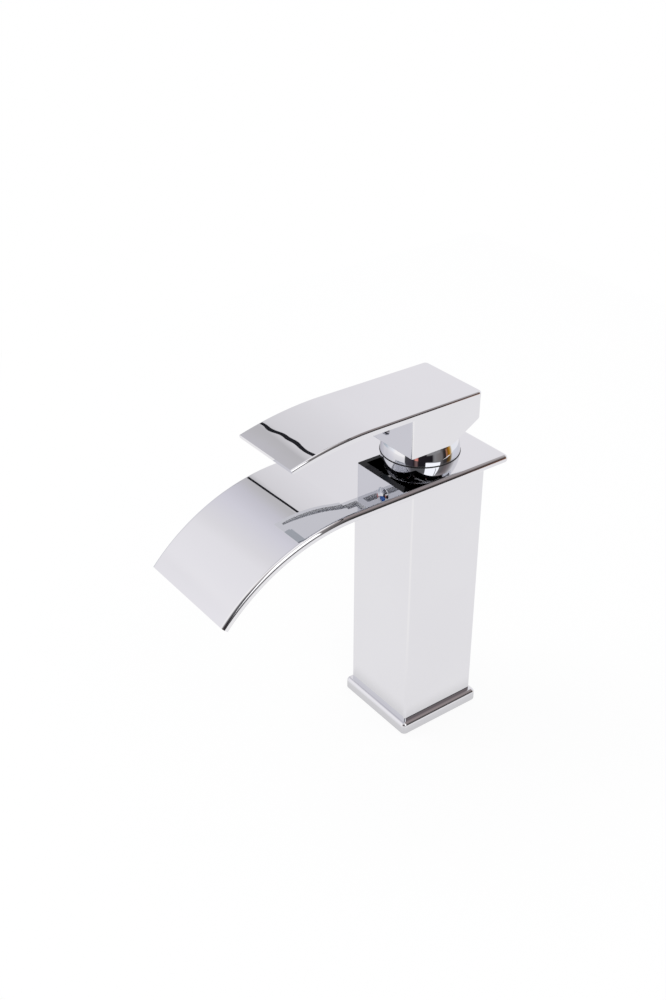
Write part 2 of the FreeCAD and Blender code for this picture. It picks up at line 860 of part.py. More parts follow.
def spout_tray():
    """Upper skin of the spout with its rims, open below and at the lip, and a ring round the nut's hole."""
    body = new_body("spout_tray")
    plate = spout_layer(body, "0", "spout_thickness", "spout_rear", "spout_bend_angle")
    pad(body, plate, "2 * spout_half", both_ways=True)
    round_edges(body, "spout_corner_round", lambda edge: spans(edge, x="spout_half", y="spout_rear"))
    round_edges(body, "spout_top_round", spout_rim("0"))
    round_edges(body, "spout_foot_round", spout_rim("spout_thickness"))
    below = "spout_thickness + cut_overrun"
    rear = "spout_rear - rim_width"
    hollow = spout_layer(body, "skin_thickness", below, rear, "lip_overrun_angle")
    pocket(body, hollow, "2 * duct_half", both_ways=True)
    ring = plan_sketch(body, "duct_top")
    circle(ring, "0", "0", "nut_bore + spacer_wall")
    pad(body, ring, "duct_top - duct_foot", down=True)
    hole = plan_sketch(body, "pivot")
    circle(hole, "0", "0", "nut_bore")
    pocket(body, hole, "spout_thickness")
    return body


def spout_cover():
    """Under skin of the spout, let into the tray, with holes for the cartridge and the two risers."""
    body = new_body("spout_cover")
    rear = "spout_rear - rim_width - fit_gap"
    plate = spout_layer(body, "spout_thickness - skin_thickness", "spout_thickness", rear, "spout_bend_angle")
    pad(body, plate, "2 * (duct_half - fit_gap)", both_ways=True)
    holes = plan_sketch(body, "duct_foot")
    circle(holes, "0", "0", "nut_bore")
    for side in SIDES:
        circle(holes, f"{side} * riser_place", "riser_place", "riser_radius")
    pocket(body, holes, "skin_thickness")
    return body


# Handle


def cavity_sketch(body):
    """Half section of the room that the collar needs inside the block, about the pivot."""
    sketch = new_sketch(body, "YZ_Plane")
    sketch.setExpression("AttachmentOffset.Base.y", linked("pivot"))
    outline(
        sketch,
        [
            ("0", "0"),
            ("cavity_radius", "0", LEFT_TURN, "cavity_radius"),
            ("sqrt(cavity_radius ^ 2 - cavity_rise ^ 2)", "cavity_rise"),
            ("0", "cavity_rise"),
        ],
    )
    return sketch


def block_plan(body):
    """Plan of the handle block, with crisp front corners and softer rear ones that follow the lever's."""
    sketch = plan_sketch(body, "block_foot")
    front = ("block_half - block_front_round", "-block_front + block_front_round")
    rear = ("block_half - block_rear_round", "block_rear - block_rear_round")
    outline(
        sketch,
        [
            (f"-({front[0]})", "-block_front"),
            (front[0], "-block_front", LEFT_TURN, "block_front_round"),
            ("block_half", front[1]),
            ("block_half", rear[1], LEFT_TURN, "block_rear_round"),
            (rear[0], "block_rear"),
            (f"-({rear[0]})", "block_rear", LEFT_TURN, "block_rear_round"),
            ("-block_half", rear[1]),
            ("-block_half", front[1], LEFT_TURN, "block_front_round"),
        ],
    )
    return sketch


def heel_cut(body):
    """What the slanted heel takes off the block, seen from the side."""
    sketch = new_sketch(body, "YZ_Plane")
    slant = ("slant_start + slant_run * cos(slant_angle)", "block_foot + slant_run * sin(slant_angle)")
    heel = ("block_rear - heel_run * cos(slant_angle)", "heel_level - heel_run * sin(slant_angle)")
    outline(
        sketch,
        [
            ("slant_start - slant_run", "block_foot", LEFT_TURN, "slant_round"),
            slant,
            (*heel, LEFT_TURN, "heel_round"),
            ("block_rear", "heel_level + heel_run"),
            ("block_rear + cut_overrun", "heel_level + heel_run"),
            ("block_rear + cut_overrun", "block_foot - cut_overrun"),
            ("slant_start - slant_run", "block_foot - cut_overrun"),
        ],
    )
    return sketch


def recess_sketch(body):
    """Side outline of the shallow recess in the lever's underside, under an even skin."""
    sketch = new_sketch(body, "YZ_Plane")
    rear = "-block_front - recess_gap"
    front = "-lever_flat_length - recess_bend_radius * recess_sine"
    roof = "lever_top - recess_skin"
    outline(
        sketch,
        [
            (rear, "tip_foot - cut_overrun"),
            (rear, roof),
            ("-lever_flat_length", roof, LEFT_TURN, "recess_bend_radius"),
            (front, "lever_top - lever_bend_radius + recess_bend_radius * sqrt(1 - recess_sine ^ 2)"),
            (front, "tip_foot - cut_overrun"),
        ],
    )
    return sketch


def lever_rim(edge):
    """True for the edges of the lever's flat top, apart from the line where its bend starts."""
    return spans(edge, z="lever_top") and not spans(edge, y="lever_flat_length")


def lever_handle():
    """Block with a slanted heel and a thin lever that curves down to its tip, hollow below for the collar."""
    body = new_body("lever_handle")
    pad(body, block_plan(body), "lever_under + lever_thickness / 2 - block_foot")
    pocket(body, heel_cut(body), "2 * block_half + cut_overrun", both_ways=True)
    lever = new_sketch(body, "YZ_Plane")
    outline(
        lever,
        [
            ("lever_rear", "lever_under"),
            ("lever_rear", "lever_top"),
            ("-lever_flat_length", "lever_top", LEFT_TURN, "lever_bend_radius"),
            ("-lever_front_length", "tip_level"),
            ("-tip_foot_length", "tip_foot", RIGHT_TURN, "under_bend_radius"),
            ("-lever_flat_length", "lever_under"),
        ],
    )
    pad(body, lever, "2 * lever_half", both_ways=True)
    round_edges(body, "lever_corner_round", lambda edge: spans(edge, x="lever_half", y="lever_rear"))
    round_edges(body, "lever_edge_round", lever_rim)
    pocket(body, recess_sketch(body), "2 * (lever_half - recess_rim)", both_ways=True)
    hollow = plan_sketch(body, "block_foot - cut_overrun")
    side = "block_half - hollow_wall"
    rectangle(hollow, f"-({side})", "-block_front + hollow_front_wall", side, "block_rear - hollow_wall")
    pocket(body, hollow, "pivot + cavity_rise - block_foot + cut_overrun", up=True)
    lifted = cavity_sketch(body)
    tilt(lifted, "lift_angle", Vector(0, 0, 1))
    groove(body, lifted)
    socket = plan_sketch(body, "pivot")
    tilt(socket, "lean", Vector(1, 0, 0))
    square(socket, "stem_half + fit_gap")
    pocket(body, socket, "stem_rise + fit_gap", up=True)
    bore = bore_sketch(body, "-cut_overrun")
    circle(bore, "0", "0", "screw_radius + fit_gap")
    pocket(body, bore, "screw_path + cut_overrun")
    seat = new_sketch(body, "XZ_Plane", "block_front + cut_overrun")
    circle(seat, "0", "plug_level", "plug_radius")
    pocket(body, seat, "plug_seat + cut_overrun")
    return body


def bore_sketch(body, depth):
    """Sketch across the screw's bore, which is square to the stem, at a depth from the block's front."""
    sketch = new_sketch(body, "XZ_Plane", f"block_front - ({depth}) * cos(lean)")
    sketch.setExpression("AttachmentOffset.Base.y", linked(f"plug_level + ({depth}) * sin(lean)"))
    tilt(sketch, "lean", Vector(1, 0, 0))
    return sketch


def handle_screw():
    """Set screw from the block's front to the stem, with a hexagon socket."""
    body = new_body("handle_screw")
    rod = bore_sketch(body, "screw_path - fit_gap")
    circle(rod, "0", "0", "screw_radius")
    pad(body, rod, "screw_length")
    key = bore_sketch(body, "screw_path - fit_gap - screw_length")
    angles = [FULL_TURN / HEXAGON_SIDES * corner for corner in range(HEXAGON_SIDES)]
    outline(key, [(f"key_radius * cos({angle})", f"key_radius * sin({angle})") for angle in angles])
    pocket(body, key, "key_depth")
    return body


def indicator_plug():
    """Domed plug over the screw's hole, with two round seats for the colour marks."""
    body = new_body("indicator_plug")
    half = new_sketch(body, "YZ_Plane")
    half.setExpression("AttachmentOffset.Base.y", linked("plug_level"))
    outline(
        half,
        [
            ("-block_front + plug_seat - fit_gap", "0"),
            ("-block_front + plug_seat - fit_gap", "plug_radius - fit_gap"),
            ("-block_front", "plug_radius - fit_gap"),
            ("-block_front", "plug_radius", LEFT_TURN, "plug_ball"),
            ("-block_front - plug_proud", "0"),
        ],
    )
    spin(body, half, axis="H_Axis")
    seats = new_sketch(body, "XZ_Plane", "block_front + plug_proud")
    for side in SIDES:
        circle(seats, f"{side} * mark_offset", "plug_level + mark_rise", "mark_radius + run_gap")
    pocket(body, seats, "plug_proud + mark_depth")
    return body


def indicator_mark(label, side):
    """Round colour mark, flush with the plug's dome."""
    rod = doc.addObject("Part::Cylinder", label + "_rod")
    rod.Placement = FreeCAD.Placement(Vector(), FreeCAD.Rotation(Vector(1, 0, 0), FULL_TURN / 4))
    rod.setExpression("Radius", linked("mark_radius"))
    rod.setExpression("Height", linked("plug_proud + mark_depth"))
    rod.setExpression("Placement.Base.x", linked(f"{side} * mark_offset"))
    rod.setExpression("Placement.Base.y", linked("-block_front + mark_depth"))
    rod.setExpression("Placement.Base.z", linked("plug_level + mark_rise"))
    ball = doc.addObject("Part::Sphere", label + "_ball")
    ball.setExpression("Radius", linked("plug_ball"))
    ball.setExpression("Placement.Base.y", linked("plug_ball - block_front - plug_proud"))
    ball.setExpression("Placement.Base.z", linked("plug_level"))
    mark = doc.addObject("Part::Common", label)
    mark.Base = rod
    mark.Tool = ball
    return mark


def indicator_cold():
    return indicator_mark("indicator_cold", SIDES[1])


def indicator_hot():
    return indicator_mark("indicator_hot", SIDES[0])


PIECES = (
    column_shell,
    base_flange,
    base_gasket,
    anchor_bridge,
    valve_body,
    cartridge_housing,
    cartridge_base,
    port_seals,
    fixed_disc,
    moving_disc,
    disc_carrier,
    stem_guide,
    pivot_pin,
    lever_stem,
    retaining_nut,
    collar_dome,
    collar_seal,
    spout_tray,
    spout_cover,
    lever_handle,
    handle_screw,
    indicator_plug,
    indicator_cold,
    indicator_hot,
)

pieces = [make() for make in PIECES]
doc.recompute()
for thing in doc.Objects:
    if "Invalid" in thing.State or "Error" in thing.State:
        raise RuntimeError(f"{thing.Label} failed: {thing.State}")
for piece in pieces:
    if piece.Shape.isNull() or not piece.Shape.isValid():
        raise RuntimeError(f"{piece.Label} has no valid shape")

os.makedirs("parts", exist_ok=True)
for piece in pieces:
    piece.Shape.exportStep(os.path.join("parts", piece.Label + ".step"))
    print(piece.Label, len(piece.Shape.Solids), round(piece.Shape.Volume, 1))
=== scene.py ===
"""Studio scene of a chrome basin mixer with a waterfall spout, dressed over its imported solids."""

import json
import logging
import math
from abc import ABC, abstractmethod
from dataclasses import dataclass, replace
from enum import Enum

import bmesh
import bpy
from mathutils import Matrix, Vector


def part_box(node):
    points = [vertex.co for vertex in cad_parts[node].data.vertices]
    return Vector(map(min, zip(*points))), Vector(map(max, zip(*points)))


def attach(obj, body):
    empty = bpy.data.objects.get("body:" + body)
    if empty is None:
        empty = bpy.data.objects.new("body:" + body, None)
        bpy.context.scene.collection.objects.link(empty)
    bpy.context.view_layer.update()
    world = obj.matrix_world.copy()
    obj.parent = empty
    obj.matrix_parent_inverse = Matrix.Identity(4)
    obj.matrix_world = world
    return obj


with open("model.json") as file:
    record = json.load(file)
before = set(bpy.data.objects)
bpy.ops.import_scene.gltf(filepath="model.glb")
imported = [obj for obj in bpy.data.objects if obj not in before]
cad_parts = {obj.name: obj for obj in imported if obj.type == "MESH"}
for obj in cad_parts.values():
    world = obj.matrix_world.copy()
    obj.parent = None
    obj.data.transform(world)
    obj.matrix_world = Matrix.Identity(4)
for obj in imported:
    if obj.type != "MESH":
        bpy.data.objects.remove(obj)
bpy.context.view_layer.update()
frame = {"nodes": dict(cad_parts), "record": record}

LOG = logging.getLogger("basin_mixer")
MM = 0.001
QUARTER_TURN = 90.0
HALF_TURN = 180.0

Rgb = tuple[float, float, float]
Point = tuple[float, float, float]
Span = tuple[float, float]
Stop = tuple[float, Rgb]
Socket = bpy.types.NodeSocket


class BodyName(Enum):
    """Bodies of the mixer that carry pieces made here."""

    FIXED = "body"


class Slot(Enum):
    """Material slots of the record, with their names."""

    BRASS = "raw_brass"
    RUBBER = "black_rubber"


class SocketKind(Enum):
    """Kinds of socket that the shared node groups have."""

    NUMBER = "NodeSocketFloat"
    COLOUR = "NodeSocketColor"


class Coordinates(Enum):
    """What a pattern can follow, with Blender's name for it."""

    PLACE = "Object"
    FACING = "Normal"
    DIRECTION = "Generated"


class Operation(Enum):
    """Sums that the node trees work out, with Blender's names for them."""

    ADD = "ADD"
    SUBTRACT = "SUBTRACT"
    MULTIPLY = "MULTIPLY"
    MAXIMUM = "MAXIMUM"
    ABSOLUTE = "ABSOLUTE"
    GREATER_THAN = "GREATER_THAN"
    LESS_THAN = "LESS_THAN"
    ARCSINE = "ARCSINE"
    ARCTAN2 = "ARCTAN2"
    DEGREES = "DEGREES"


class Graph:
    """Short calls that add and join the nodes of one node tree."""

    def __init__(self, tree: bpy.types.NodeTree) -> None:
        """Keeps the node tree that the calls add to."""
        self.tree = tree

    def add(self, kind: str, **values: object) -> bpy.types.Node:
        """Adds a node.

        Args:
            kind: Blender's type name of the node.
            values: Properties to set on it.

        Returns:
            The new node.
        """
        node = self.tree.nodes.new(kind)
        for name, value in values.items():
            setattr(node, name, value)
        return node

    def feed(self, node: bpy.types.Node, socket: str | int, value: object) -> None:
        """Gives an input its link or its constant.

        Args:
            node: Node whose input is fed.
            socket: Name or index of the input.
            value: Output socket to link, or a constant.
        """
        target = node.inputs[socket]
        if isinstance(value, Socket):
            self.tree.links.new(value, target)
        else:
            target.default_value = value

    def math(self, operation: Operation, *values: object) -> Socket:
        """Works out a number.

        Args:
            operation: What is done with the values.
            values: Output sockets or constants.

        Returns:
            The result's socket.
        """
        node = self.add("ShaderNodeMath", operation=operation.value)
        for index, value in enumerate(values):
            self.feed(node, index, value)
        return node.outputs["Value"]

    def between(
        self,
        value: Socket,
        limits: Span,
        results: tuple[object, object],
        smooth: bool = False,
    ) -> Socket:
        """Maps a number from one range to another and clamps it.

        Args:
            value: Socket of the number.
            limits: Range that it comes from.
            results: Range that it goes to, as constants or sockets.
            smooth: Whether the change eases in and out.

        Returns:
            The result's socket.
        """
        kind = "SMOOTHSTEP" if smooth else "LINEAR"
        node = self.add("ShaderNodeMapRange", interpolation_type=kind)
        for index, part in enumerate((value, *limits, *results)):
            self.feed(node, index, part)
        return node.outputs["Result"]

    def mix(self, factor: Socket, first: Rgb | Socket, second: Rgb | Socket) -> Socket:
        """Mixes two colours.

        Args:
            factor: Share of the second colour.
            first: Colour or socket at 0.
            second: Colour or socket at 1.

        Returns:
            The mixed colour's socket.
        """
        node = self.add("ShaderNodeMix", data_type="RGBA")
        self.feed(node, "Factor", factor)
        targets = [socket for socket in node.inputs if socket.type == "RGBA"]
        for target, value in zip(targets, (first, second)):
            if isinstance(value, Socket):
                self.tree.links.new(value, target)
            else:
                target.default_value = (*value, 1.0)
        return next(socket for socket in node.outputs if socket.type == "RGBA")

    def noise(self, place: Socket, scale: float | Socket, detail: float = 2.0) -> Socket:
        """Adds a noise pattern.

        Args:
            place: Socket of the coordinates.
            scale: Fineness of the pattern, per metre.
            detail: Octaves of finer noise.

        Returns:
            The pattern's value socket.
        """
        node = self.add("ShaderNodeTexNoise")
        self.feed(node, "Vector", place)
        self.feed(node, "Scale", scale)
        self.feed(node, "Detail", detail)
        return node.outputs["Fac"]

    def ramp(self, value: Socket, stops: tuple[Stop, ...]) -> Socket:
        """Colours a number from 0 to 1.

        Args:
            value: Socket of the number.
            stops: Places and colours, in order.

        Returns:
            The colour's socket.
        """
        node = self.add("ShaderNodeValToRGB")
        elements = node.color_ramp.elements
        while len(elements) < len(stops):
            elements.new(1.0)
        for element, (place, colour) in zip(elements, stops):
            element.position = place
            element.color = (*colour, 1.0)
        self.feed(node, "Fac", value)
        return node.outputs["Color"]

    def coordinates(self, kind: Coordinates = Coordinates.PLACE) -> Socket:
        """Gives the socket of what a pattern follows."""
        return self.add("ShaderNodeTexCoord").outputs[kind.value]

    def axes(self, vector: Socket) -> tuple[Socket, ...]:
        """Splits a vector.

        Args:
            vector: Socket of the vector.

        Returns:
            The sockets of its X, Y and Z.
        """
        node = self.add("ShaderNodeSeparateXYZ")
        self.feed(node, "Vector", vector)
        return tuple(node.outputs[axis] for axis in "XYZ")

    def stretched(self, place: Socket, scale: Point) -> Socket:
        """Scales coordinates along each axis.

        Args:
            place: Socket of the coordinates.
            scale: Factor along X, Y and Z.

        Returns:
            The scaled coordinates' socket.
        """
        node = self.add("ShaderNodeMapping")
        self.feed(node, "Vector", place)
        self.feed(node, "Scale", scale)
        return node.outputs["Vector"]


class Effects:
    """Node groups that the finishes share, each built once."""

    SMUDGE_DETAIL = 4.0
    STREAK_DETAIL = 3.0
    STREAK_SCALE = (9.0, 9.0, 1.0)
    HAZE_LIMITS = (0.35, 0.7)
    DRIFT_DETAIL = 5.0
    DRIFT_LIMITS = (0.3, 0.7)
    WAVE_DETAIL = 1.0
    TURNING_DETAIL = 2.0
    TURNING_SCALE = (0.04, 0.04, 1.0)

    def __init__(self) -> None:
        """Builds the groups."""
        self.haze = self._haze()
        self.drift = self._drift()
        self.wave = self._wave()
        self.turning = self._turning()

    @staticmethod
    def _group(
        name: str,
        inputs: dict[str, SocketKind],
        output: tuple[str, SocketKind],
    ) -> tuple[Graph, dict[str, Socket], bpy.types.Node]:
        """Starts a node group.

        Args:
            name: Name of the group.
            inputs: Kinds of its inputs, by name.
            output: Name and kind of its result.

        Returns:
            The group's graph, its input sockets by name and its output node.
        """
        tree = bpy.data.node_groups.new(name, "ShaderNodeTree")
        for label, kind in inputs.items():
            tree.interface.new_socket(name=label, in_out="INPUT", socket_type=kind.value)
        result, result_kind = output
        tree.interface.new_socket(name=result, in_out="OUTPUT", socket_type=result_kind.value)
        graph = Graph(tree)
        start = graph.add("NodeGroupInput")
        end = graph.add("NodeGroupOutput")
        return graph, {label: start.outputs[label] for label in inputs}, end

    def _haze(self) -> bpy.types.NodeTree:
        """Builds wiped polish: soft smudges with fine streaks, as a roughness between two limits.

        Returns:
            The group.
        """
        inputs = {"Scale": SocketKind.NUMBER, "Low": SocketKind.NUMBER, "High": SocketKind.NUMBER}
        graph, given, end = self._group("polish_haze", inputs, ("Roughness", SocketKind.NUMBER))
        place = graph.coordinates()
        smudge = graph.noise(place, given["Scale"], self.SMUDGE_DETAIL)
        long_place = graph.stretched(place, self.STREAK_SCALE)
        streak = graph.noise(long_place, given["Scale"], self.STREAK_DETAIL)
        mean = graph.math(Operation.MULTIPLY, graph.math(Operation.ADD, smudge, streak), 0.5)
        gloss = (given["Low"], given["High"])
        graph.feed(end, "Roughness", graph.between(mean, self.HAZE_LIMITS, gloss, smooth=True))
        return graph.tree

    def _drift(self) -> bpy.types.NodeTree:
        """Builds a slow drift between two colours.

        Returns:
            The group.
        """
        inputs = {"Scale": SocketKind.NUMBER, "First": SocketKind.COLOUR, "Second": SocketKind.COLOUR}
        graph, given, end = self._group("tone_drift", inputs, ("Color", SocketKind.COLOUR))
        pattern = graph.noise(graph.coordinates(), given["Scale"], self.DRIFT_DETAIL)
        share = graph.between(pattern, self.DRIFT_LIMITS, (0.0, 1.0))
        graph.feed(end, "Color", graph.mix(share, given["First"], given["Second"]))
        return graph.tree

    def _wave(self) -> bpy.types.NodeTree:
        """Builds waviness or grain, as a height.

        Returns:
            The group.
        """
        inputs = {"Scale": SocketKind.NUMBER}
        graph, given, end = self._group("surface_wave", inputs, ("Height", SocketKind.NUMBER))
        graph.feed(end, "Height", graph.noise(graph.coordinates(), given["Scale"], self.WAVE_DETAIL))
        return graph.tree

    def _turning(self) -> bpy.types.NodeTree:
        """Builds the rings that turning leaves round an upright axis, as a height.

        Returns:
            The group.
        """
        inputs = {"Scale": SocketKind.NUMBER}
        graph, given, end = self._group("turning_marks", inputs, ("Height", SocketKind.NUMBER))
        flat_place = graph.stretched(graph.coordinates(), self.TURNING_SCALE)
        graph.feed(end, "Height", graph.noise(flat_place, given["Scale"], self.TURNING_DETAIL))
        return graph.tree

    @staticmethod
    def place(graph: Graph, group: bpy.types.NodeTree, **values: object) -> Socket:
        """Puts a group into a material.

        Args:
            graph: Graph of the material.
            group: Group to place.
            values: Its inputs, with the name in lower case.

        Returns:
            The group's output socket.
        """
        node = graph.add("ShaderNodeGroup", node_tree=group)
        for name, value in values.items():
            constant = (*value, 1.0) if isinstance(value, tuple) else value
            graph.feed(node, name.capitalize(), constant)
        return node.outputs[0]


def bare_material(name: str) -> tuple[bpy.types.Material, Graph]:
    """Makes a material that has no nodes yet.

    Args:
        name: Name of the material.

    Returns:
        The material and its graph.
    """
    material = bpy.data.materials.new(name)
    material.use_nodes = True
    graph = Graph(material.node_tree)
    graph.tree.nodes.clear()
    return material, graph


@dataclass(frozen=True)
class Finish:
    """A finish with drifting colour, hazy gloss and a fine surface.

    The tones are the two colours that it drifts between, and the gloss is its least and greatest
    roughness. The scales are the fineness of each pattern, per metre.
    """

    name: str
    tones: tuple[Rgb, Rgb]
    tone_scale: float
    gloss: Span
    gloss_scale: float
    grain_scale: float
    grain_height: float
    metal: float = 0.0
    coat: float = 0.0
    turned: bool = False

    def colour(self, graph: Graph, effects: Effects) -> Socket:
        """Gives the base colour's socket."""
        first, second = self.tones
        return effects.place(graph, effects.drift, scale=self.tone_scale, first=first, second=second)

    def roughness(self, graph: Graph, effects: Effects) -> Socket:
        """Gives the roughness's socket."""
        low, high = self.gloss
        return effects.place(graph, effects.haze, scale=self.gloss_scale, low=low, high=high)

    def metallic(self, graph: Graph) -> float | Socket:
        """Gives the metal's share, or its socket where it varies."""
        return self.metal

    def make(self, effects: Effects) -> bpy.types.Material:
        """Builds the material.

        Args:
            effects: Shared node groups.

        Returns:
            The material.
        """
        material, graph = bare_material(self.name)
        shader = graph.add("ShaderNodeBsdfPrincipled")
        out = graph.add("ShaderNodeOutputMaterial")
        graph.feed(out, "Surface", shader.outputs["BSDF"])
        graph.feed(shader, "Base Color", self.colour(graph, effects))
        graph.feed(shader, "Roughness", self.roughness(graph, effects))
        graph.feed(shader, "Metallic", self.metallic(graph))
        graph.feed(shader, "Coat Weight", self.coat)
        pattern = effects.turning if self.turned else effects.wave
        bump = graph.add("ShaderNodeBump")
        graph.feed(bump, "Distance", self.grain_height)
        graph.feed(bump, "Height", effects.place(graph, pattern, scale=self.grain_scale))
        graph.feed(shader, "Normal", bump.outputs["Normal"])
        return material


@dataclass(frozen=True)
class Region:
    """Upright box of a piece, in the piece's own frame and in metres."""

    low: Point
    high: Point

    def mask(self, graph: Graph) -> Socket:
        """Masks what lies in the box.

        Args:
            graph: Graph of the material.

        Returns:
            Socket that is 1 in the box and 0 elsewhere.
        """
        shares = []
        for place, low, high in zip(graph.axes(graph.coordinates()), self.low, self.high):
            shares.append(graph.math(Operation.GREATER_THAN, place, low))
            shares.append(graph.math(Operation.LESS_THAN, place, high))
        result = shares[0]
        for share in shares[1:]:
            result = graph.math(Operation.MULTIPLY, result, share)
        return result


NOWHERE = Region(low=(0.0, 0.0, 0.0), high=(0.0, 0.0, 0.0))


@dataclass(frozen=True)
class CastFinish(Finish):
    """Bright plating over a casting.

    The hollow, the sole and a pad under the tip are painted dark as shade; in the hollow this darkens
    the unplated casting's own dark tone. The plating leaves the upright walls of the recess raw.
    """

    hollow: Region = NOWHERE
    # Dark tone of the unplated casting in the hollow, darkened further as painted shade.
    hollow_shade_tones: tuple[Rgb, Rgb] = ((0.2, 0.2, 0.205), (0.34, 0.335, 0.33))
    streak_scale: float = 420.0
    streak_run: float = 0.05
    streak_limits: Span = (0.4, 0.65)
    sole: Region = NOWHERE
    # Near-black painted shade on the handle's sole.
    sole_shade_tones: tuple[Rgb, Rgb] = ((0.006, 0.006, 0.007), (0.012, 0.012, 0.013))
    pad: Region = NOWHERE
    # Darker bluish grey painted shade on the underside of the pad under the tip.
    pad_shade_tones: tuple[Rgb, Rgb] = ((0.42, 0.448, 0.482), (0.44, 0.468, 0.502))
    recess: Region = NOWHERE
    raw_tones: tuple[Rgb, Rgb] = ((0.84, 0.85, 0.86), (0.92, 0.93, 0.94))
    raw_gloss: Span = (0.5, 0.65)
    tone_fineness: float = 8.0
    gloss_fineness: float = 4.0
    slope: float = 0.5

    def _streaks(self, graph: Graph) -> Socket:
        """Draws the hollow's upright streaks in its dark tone, which is partly painted shade.

        Args:
            graph: Graph of the material.

        Returns:
            Socket of the streaked colour.
        """
        place = graph.stretched(graph.coordinates(), (1.0, 1.0, self.streak_run))
        pattern = graph.noise(place, self.streak_scale)
        share = graph.between(pattern, self.streak_limits, (0.0, 1.0), smooth=True)
        return graph.mix(share, *self.hollow_shade_tones)

    @staticmethod
    def _facing(graph: Graph) -> Socket:
        """Gives a socket that is 1 on a top, 0 on a wall and -1 on an underside."""
        _, _, upward = graph.axes(graph.coordinates(Coordinates.FACING))
        return upward

    def _raw(self, graph: Graph) -> Socket:
        """Masks the recess's upright walls.

        Args:
            graph: Graph of the material.

        Returns:
            Socket that is 1 on the walls and 0 elsewhere.
        """
        tilt = graph.math(Operation.ABSOLUTE, self._facing(graph))
        upright = graph.math(Operation.LESS_THAN, tilt, self.slope)
        return graph.math(Operation.MULTIPLY, self.recess.mask(graph), upright)

    def colour(self, graph: Graph, effects: Effects) -> Socket:
        """Gives the plating's colour, with painted shade in the hollow, on the sole and on the pad, and
        the raw metal's colour where it is bare.

        Args:
            graph: Graph of the material.
            effects: Shared node groups.

        Returns:
            The colour's socket.
        """
        plating = super().colour(graph, effects)
        # Painted shade: the hollow takes its dark streaked tone over the plating.
        result = graph.mix(self.hollow.mask(graph), plating, self._streaks(graph))
        # Painted shade on the sole and on the underside of the pad; the recess walls take the raw
        # metal's own colour.
        under = graph.math(Operation.LESS_THAN, self._facing(graph), -self.slope)
        patches = (
            (self.sole.mask(graph), self.sole_shade_tones),
            (graph.math(Operation.MULTIPLY, self.pad.mask(graph), under), self.pad_shade_tones),
            (self._raw(graph), self.raw_tones),
        )
        scale = self.tone_scale * self.tone_fineness
        for mask, (first, second) in patches:
            tone = effects.place(graph, effects.drift, scale=scale, first=first, second=second)
            result = graph.mix(mask, result, tone)
        return result

    def roughness(self, graph: Graph, effects: Effects) -> Socket:
        """Gives the plating's roughness, or the raw metal's where it is bare.

        Args:
            graph: Graph of the material.
            effects: Shared node groups.

        Returns:
            The roughness's socket.
        """
        low, high = self.raw_gloss
        scale = self.gloss_scale * self.gloss_fineness
        dull = effects.place(graph, effects.haze, scale=scale, low=low, high=high)
        return graph.between(self._raw(graph), (0.0, 1.0), (super().roughness(graph, effects), dull))

    def metallic(self, graph: Graph) -> Socket:
        """Gives the socket of the metal's share, which the raw walls lack because they are dull."""
        return graph.math(Operation.SUBTRACT, self.metal, self._raw(graph))


CHROME = Finish(
    name="bright_chrome",
    tones=((0.71, 0.718, 0.752), (0.697, 0.704, 0.739)),
    tone_scale=18.0,
    gloss=(0.004, 0.02),
    gloss_scale=40.0,
    grain_scale=26.0,
    grain_height=0.04 * MM,
    metal=1.0,
)
BRASS = Finish(
    name="machined_brass",
    tones=((0.70, 0.50, 0.22), (0.60, 0.42, 0.18)),
    tone_scale=60.0,
    gloss=(0.24, 0.4),
    gloss_scale=90.0,
    grain_scale=2500.0,
    grain_height=0.03 * MM,
    metal=1.0,
    turned=True,
)
STEEL = Finish(
    name="plain_steel",
    tones=((0.56, 0.56, 0.57), (0.48, 0.48, 0.5)),
    tone_scale=120.0,
    gloss=(0.2, 0.34),
    gloss_scale=150.0,
    grain_scale=3000.0,
    grain_height=0.02 * MM,
    metal=1.0,
    turned=True,
)
RUBBER = Finish(
    name="black_rubber",
    tones=((0.022, 0.022, 0.024), (0.038, 0.037, 0.037)),
    tone_scale=240.0,
    gloss=(0.62, 0.8),
    gloss_scale=120.0,
    grain_scale=3200.0,
    grain_height=0.04 * MM,
)
WHITE_PLASTIC = Finish(
    name="white_moulded_plastic",
    tones=((0.78, 0.78, 0.75), (0.72, 0.72, 0.69)),
    tone_scale=70.0,
    gloss=(0.36, 0.5),
    gloss_scale=80.0,
    grain_scale=2600.0,
    grain_height=0.03 * MM,
)
GREY_PLASTIC = replace(
    WHITE_PLASTIC,
    name="grey_moulded_plastic",
    tones=((0.27, 0.28, 0.3), (0.23, 0.24, 0.26)),
    gloss=(0.36, 0.52),
)
CERAMIC = Finish(
    name="lapped_ceramic",
    tones=((0.84, 0.82, 0.77), (0.79, 0.77, 0.72)),
    tone_scale=160.0,
    gloss=(0.16, 0.26),
    gloss_scale=110.0,
    grain_scale=4000.0,
    grain_height=0.01 * MM,
    coat=0.2,
)
BLUE = Finish(
    name="blue_enamel",
    tones=((0.01, 0.12, 0.5), (0.015, 0.15, 0.58)),
    tone_scale=900.0,
    gloss=(0.12, 0.22),
    gloss_scale=500.0,
    grain_scale=1500.0,
    grain_height=0.01 * MM,
    coat=0.5,
)
RED = replace(BLUE, name="red_enamel", tones=((0.55, 0.015, 0.015), (0.63, 0.025, 0.02)))


class Wardrobe:
    """Materials of the mixer, made on first use."""

    def __init__(self, effects: Effects) -> None:
        """Keeps the shared node groups."""
        self.effects = effects
        self.made: dict[str, bpy.types.Material] = {}

    def get(self, finish: Finish) -> bpy.types.Material:
        """Gives a finish's material.

        Args:
            finish: Finish that is wanted.

        Returns:
            The material, made once.
        """
        if finish.name not in self.made:
            self.made[finish.name] = finish.make(self.effects)
        return self.made[finish.name]

    def dress(self, obj: bpy.types.Object, finish: Finish) -> None:
        """Gives an object one finish all over.

        Args:
            obj: Object to dress.
            finish: Finish to give it.
        """
        obj.data.materials.clear()
        obj.data.materials.append(self.get(finish))
        LOG.info("%s is dressed in %s", obj.name, finish.name)


